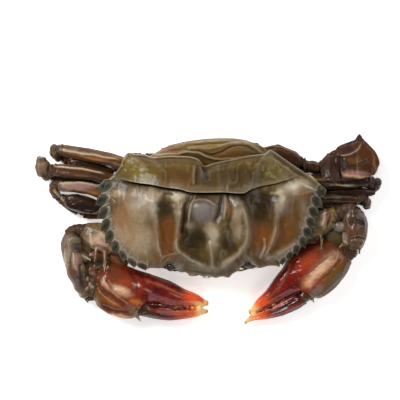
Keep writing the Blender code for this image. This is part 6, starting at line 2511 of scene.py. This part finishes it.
LEFT_CLAW = Claw(
    Side.LEFT, LEFT_ARM, LEFT_WRIST, LEFT_PALM, LEFT_FINGER, LEFT_THORNS, LEFT_LOBES,
    ((37.0, -25.2, 5.6), (29.1, -29.9, 5.6), (22.4, -32.9, 4.8), (17.6, -35.2, 4.0)), LEFT_PALM_FINISH,
    neck=(0.46, 0.24, 2.4))

WALKING = ("merus", "carpus", "propodus", "dactyl")
SWIMMING = ("merus", "carpus", "propodus", "paddle")

# The dark patch is painted shade where the leg and the claw fold under.
LEG1_RIGHT_LOOK = Look(
    patches(pink=(-52, 16.6, 8, 1.3, 0.7), warm=(-46.2, 13.8, 3, 1.2, 0.8), dark=(-50, 9, 7.4, 3.4, 0.95),
        pale=(-57, 17.6, 3.4, 0.9, 0.6)),
    folds(ridges=((0.25, 0.6, 0.7, 0.4, (-61.8, 15.6), (-58.4, 12), (-54.6, 8.4)),
        (0.2, 0.5, 0.75, 0.35, (-60, 18), (-50, 18), (-42, 16.4)))))

# A fold of skin filling the gap under the leg, painted dark as shade.
LEG1_RIGHT_LOBES = (
    Lobe("leg1_right_shaded_fold", (-50, 9.6, 4.4), (7.6, 3.6, 3.6), LEG_FINISH, Slot.LEG,
         patches(dark=(-50, 8.6, 14, 8)), turn=-14, seed=11),)

LEG2_RIGHT_LOOK = Look(
    patches(pale=(-66, 25.4, 1.8, 2.2, 0.4), warm=(-50, 22.4, 8, 0.8, 0.5), dark=(-50, 21.4, 12, 3, 0.7)),
    folds(ridges=((0.3, 0.6, 0.85, 0.32, (-62, 24.8), (-54, 24.2), (-46, 22.9), (-40.6, 21.6)),)))

# A fold of skin filling the gap under the leg, painted dark as shade.
LEG2_RIGHT_LOBES = (
    Lobe("leg2_right_shaded_fold", (-46.4, 24.6, 5.8), (9.6, 2.4, 3), LEG_FINISH, Slot.LEG,
         patches(dark=(-46, 24.6, 16, 6)), turn=-14, seed=12),)

# The long pale streak along the leg is a painted highlight.
LEG3_RIGHT_LOOK = Look(
    patches(pink=(-40.6, 24.4, 5.4, 1.4, 0.8), warm=(-44, 28, 10, 0.9, 0.5),
        pale=((-60.6, 30.8, 1.6, 1.6, 0.4), (-50, 30.2, 9, 0.7, 0.5, -8)), dark=(-48, 26.4, 9, 0.9, 0.4)),
    folds(ridges=((0.3, 0.6, 0.85, 0.32, (-60, 31.6), (-52, 30.2), (-44, 29), (-34.8, 27.4)),)))

LEG2_LEFT_LOOK = Look(
    patches(dark=(54, 12.6, 16, 6), warm=(56, 10.2, 6, 1, 0.4)),
    folds(ridges=((0.25, 0.5, 0.2, 0.25, (46, 12.2), (50, 12.4), (54, 12.2)),)))

LEG2_LEFT_LOBES = (
    Lobe("leg2_left_fold", (51, 9.4, 5.2), (6.8, 2.5, 3.2), ARM_FINISH, Slot.LEG,
         patches(olive=(50, 9, 6, 4), dark=(56, 10.6, 5, 3, 0.9)), seed=16),)

# The pale streak along the merus is a painted highlight.
LEG3_LEFT_LOOK = Look(
    patches(dark=(57, 17, 18, 7), pale=(54, 17.4, 5.4, 0.45, 0.8, -4)),
    folds(ridges=((0.25, 0.5, 0.3, 0.3, (48.5, 17.2), (52, 17.5), (58, 17)),)))

# A fold of skin filling the gap under the merus, painted dark as shade.
LEG3_LEFT_LOBES = (
    Lobe("leg3_left_shaded_fold", (56.6, 14.4, 5.4), (11, 2.3, 3.2), LEG_FINISH, Slot.LEG,
         patches(dark=(56.6, 14.4, 20, 6)), seed=13),)

SWIM_LEFT_LOOK = Look(
    patches(dusk=((55.4, 31.6, 4.4, 3, 1, -20), (47.6, 27.6, 2.6, 2.2, 0.6)),
        warm=(63.4, 30, 3, 4.6, 0.7, 20), dark=((54.4, 26, 2.4, 3, 0.7), (49.6, 22.6, 3.2, 4, 0.8),
        (28, 30, 12, 5, 0.45), (41, 25.6, 5, 4, 0.6)), pale=(67.4, 25.6, 0.8, 5.4, 0.7, 10),
        pink=(60.6, 21, 8.2, 1.5, 1, -9), gold=(58.6, 27, 3, 1.6, 0.5)),
    folds(ridges=((0.4, 0.6, 0.6, 0.22, (51, 29.6), (54.9, 28.9), (58.2, 29.9), (60.8, 31.9), (62, 34.2)),
        (0.3, 0.7, 0.6, 0.5, (54.1, 21.5), (60, 20.4), (67.4, 19.7)),
        (0.2, 0.5, 0.4, 0.25, (20, 31.4), (27, 32.8), (34, 30.6), (38, 28))),
        creases=((-0.35, 0.7, 0.6, 0.4, (56, 24.6), (60.4, 25.6), (65.6, 28)),
        (-0.3, 0.6, 0.5, 0.4, (57, 33.6), (60.4, 35.4), (63.4, 34.8)))))

SWIM_LEFT_LOBES = (
    Lobe("swim_left_hinge", (52.6, 24.2, 7.8), (2.6, 5.4, 2.6), BLADE_FINISH, Slot.BLADE,
         patches(dark=(52.2, 24.2, 5, 9, 0.95)), dents=0.12, seed=14),
    Lobe("swim_left_notch", (51.2, 28.6, 6.4), (3.2, 2.6, 2), BLADE_FINISH, Slot.BLADE,
         patches(warm=(51.4, 29.4, 4, 3, 0.6)), turn=35, dents=0.3, seed=17),
    # Folds of skin filling the gaps between the segments, painted dark as shade.
    Lobe("swim_left_wrist_shaded_fold", (40.4, 23.2, 5.6), (4.4, 2.8, 2.8), LEG_FINISH, Slot.LEG,
         patches(dark=(40.4, 23.2, 8, 5, 0.9)), turn=-16, seed=19),
    Lobe("swim_left_shaded_fold", (45, 20.6, 6.4), (6.6, 3, 3.2), LEG_FINISH, Slot.LEG,
         patches(dark=(45, 20.4, 10, 6, 0.95)), turn=-8, seed=15))

LEGS = (
    Leg("leg1_right", WALKING, (-20, 5, 7.4), 100, LEG1_RIGHT_LOOK, LEG1_RIGHT_LOBES),
    Leg("leg2_right", WALKING, (-20, 11.6, 7.8), 110, LEG2_RIGHT_LOOK, LEG2_RIGHT_LOBES),
    Leg("leg3_right", WALKING, (-16.4, 16.4, 8), 120, LEG3_RIGHT_LOOK),
    Leg("leg1_left", WALKING, (20, 4.6, 4.4), 130, Look()),
    Leg("leg2_left", WALKING, (20.4, 9.6, 7.6), 140, LEG2_LEFT_LOOK, LEG2_LEFT_LOBES),
    Leg("leg3_left", WALKING, (18.6, 14.6, 7.8), 150, LEG3_LEFT_LOOK, LEG3_LEFT_LOBES),
    Leg("swim_right", SWIMMING, (-9, 21.4, 7.2), 160, Look(), blade=True),
    Leg("swim_left", SWIMMING, (10, 20.6, 7.4), 170, SWIM_LEFT_LOOK, SWIM_LEFT_LOBES, blade=True,
        bare_joints=(2,)))


# ---------------------------------------------------------------- hairs

@dataclass
class Fringes:
    """The stiff hairs of the mouth, brow, blades and walking legs."""

    seed: int = 5

    @staticmethod
    def _sown(line: Array, chance: np.random.Generator, count: int) -> Array:
        """Strew places along a line.

        Args:
            line: Points of the line.
            chance: Source of the random places.
            count: How many places.

        Returns:
            The places, in order along the line.
        """
        place = np.sort(chance.uniform(0.0, len(line) - 1.001, count))
        low = place.astype(int)
        return line[low] + (line[low + 1] - line[low]) * (place - low)[:, None]

    def _along(self, path: Array, way: Point3, count: int, length: float, spread: float,
               name: str) -> bpy.types.Object:
        """Grow hairs along a path on the plan, all roughly one way.

        Args:
            path: Points that the path passes through.
            way: Way that the hairs point.
            count: How many hairs.
            length: Their usual length.
            spread: How far their roots stray from the path.
            name: Name of the piece.

        Returns:
            The new piece.
        """
        chance = np.random.default_rng(self.seed + count)
        roots = self._sown(smooth_rows(path, 8) + PLAN_SHIFT, chance, count)
        roots = roots + chance.normal(0.0, spread, (count, 3))
        ways = np.tile(unit(np.array(way, float)), (count, 1))
        skin = hairs(roots, ways, length * chance.uniform(0.6, 1.15, count), 0.05, 0.15, self.seed)
        return skin.to_piece(name, HAIR_FINISH, Slot.WHISKER)

    def _edge(self, node: str, count: int, length: float, name: str, fall: float = -0.15) -> bpy.types.Object:
        """Grow hairs outwards from the rim of a blade or the lower edge of a segment.

        Args:
            node: Solid of the frame.
            count: How many hairs.
            length: Their usual length.
            name: Name of the piece.
            fall: How far they point up.

        Returns:
            The new piece.
        """
        chance = np.random.default_rng(self.seed + count + len(node))
        points = node_points(node)
        middle = points.mean(axis=0)
        x, y, _ = (points - middle).T
        bearing = np.arctan2(y, x)
        bins = np.linspace(-math.pi, math.pi, 49)
        rim = []
        for low, high in zip(bins, bins[1:]):
            inside = np.flatnonzero((bearing >= low) & (bearing < high))
            if len(inside):
                rim.append(points[inside[np.argmax(np.hypot(x, y)[inside])]])
        roots = self._sown(np.array(rim + rim[:1]), chance, count)
        ways = roots - middle
        ways[:, 2] = fall
        ways = unit(ways)
        roots = roots - ways * 0.35 + chance.normal(0.0, 0.06, roots.shape)
        skin = hairs(roots, ways, length * chance.uniform(0.5, 1.1, count), 0.04, 0.1, self.seed)
        return skin.to_piece(name, HAIR_FINISH, Slot.WHISKER)

    def build(self) -> list[bpy.types.Object]:
        """Grow every fringe.

        Returns:
            The new pieces.
        """
        pieces = [self._edge("swim_left_paddle", 520, 0.8, "hair_left_paddle"),
                  self._edge("swim_right_paddle", 420, 1.3, "hair_right_paddle"),
                  self._edge("swim_left_propodus", 160, 0.7, "hair_left_fan")]
        for side, socket in ((Side.RIGHT, -15.4), (Side.LEFT, 16.6)):
            hand, name = side.hand, side.value
            lip = ((hand * 1.2, -17.9, 5.0), (hand * 1.0, -18.4, 9.0), (hand * 1.6, -18.0, 12.6))
            brow = ((socket - 3.4, -14.9, 14.2), (socket, -13.6, 14.6), (socket + 3.6, -14.9, 14.2))
            pieces += [self._along(lip, (hand * -0.2, -1.0, -0.5), 170, 1.6, 0.25, f"hair_mouth_{name}"),
                       self._along(brow, (0.0, -1.0, -0.25), 120, 1.9, 0.2, f"hair_brow_{name}")]
            for number in (1, 2, 3):
                for part, count in (("propodus", 110), ("dactyl", 90)):
                    node = f"leg{number}_{name}_{part}"
                    pieces.append(self._edge(node, count, 1.0, f"hair_{node}", -0.4))
        return pieces


# ---------------------------------------------------------------- studio

@dataclass
class Studio:
    """A pale floor, soft light and a camera straight above."""

    view_width: float = 0.160
    view_centre: Point2 = (-0.0032, 0.0117)
    height: float = 1.6
    focus_level: float = 0.010
    sensor: float = 36.0
    floor_size: float = 6.0
    floor_level: float = -0.0001

    def _floor(self) -> None:
        """Lay the floor."""
        bpy.ops.mesh.primitive_plane_add(size=self.floor_size, location=(0.0, 0.0, self.floor_level))
        floor = bpy.context.object
        floor.name = "studio_floor"
        sheet = NodeSheet("pale_floor")
        shader = sheet.node("ShaderNodeBsdfPrincipled", None, {
            "Base Color": (0.96, 0.96, 0.96, 1.0), "Roughness": 0.9, "Specular IOR Level": 0.1,
            "Emission Color": (1.0, 1.0, 1.0, 1.0), "Emission Strength": 0.5})
        floor.data.materials.append(sheet.finished(shader))

    def _lamp(self, name: str, place: Point3, size: float, power: float, tone: Colour) -> None:
        """Hang a soft square lamp that faces the crab.

        Args:
            name: Name of the lamp.
            place: Where it hangs, in metres.
            size: Length of its side.
            power: Its power in watts.
            tone: Its colour.
        """
        data = bpy.data.lights.new(name, "AREA")
        data.shape, data.size = "SQUARE", size
        data.energy, data.color = power, tone
        lamp = bpy.data.objects.new(name, data)
        lamp.location = place
        lamp.rotation_euler = (-Vector(place)).to_track_quat("-Z", "Y").to_euler()
        bpy.context.scene.collection.objects.link(lamp)

    def _sky(self) -> None:
        """Fill the room with even pale light."""
        world = bpy.data.worlds.new("pale_room")
        world.use_nodes = True
        background = world.node_tree.nodes["Background"]
        background.inputs["Color"].default_value = (1.0, 1.0, 1.0, 1.0)
        background.inputs["Strength"].default_value = 0.2
        bpy.context.scene.world = world

    def _camera(self) -> None:
        """Set the camera."""
        data = bpy.data.cameras.new("camera")
        data.sensor_width = self.sensor
        data.lens = self.sensor * (self.height - self.focus_level) / self.view_width
        data.clip_end = 10.0
        camera = bpy.data.objects.new("camera", data)
        low, high = CAD_BOX
        middle = (low + high) / 2
        camera.location = (middle.x + self.view_centre[0], middle.y + self.view_centre[1], self.height)
        bpy.context.scene.collection.objects.link(camera)
        bpy.context.scene.camera = camera

    def build(self) -> None:
        """Set up the studio."""
        self._floor()
        self._sky()
        self._lamp("window", (-0.5, 0.42, 0.6), 0.42, 8.0, (1.0, 0.99, 0.97))
        self._lamp("side", (0.6, 0.3, 0.5), 0.5, 2.2, (1.0, 0.99, 0.98))
        self._lamp("front", (0.1, -0.7, 0.5), 0.5, 1.7, (0.97, 0.98, 1.0))
        self._camera()
        bpy.context.scene.view_settings.view_transform = "Standard"


def main() -> None:
    """Build the crab and its studio, and note the sizes."""
    logging.basicConfig(level=logging.INFO, format="%(message)s")
    shell = Carapace(SHELL_FINISH, spacing=0.3)
    pieces = [shell.build()]
    pieces += SideSkin(shell, BELLY_FINISH).build()
    pieces.append(RearPlates(TERGITE_FINISH).build())
    for part in (Belly(BELLY_FINISH), Head(), RIGHT_CLAW, LEFT_CLAW, *LEGS, Fringes()):
        pieces += part.build()
    LOG.info("%d pieces in all", len(pieces))
    Studio().build()


if __name__ == "__main__":
    main()
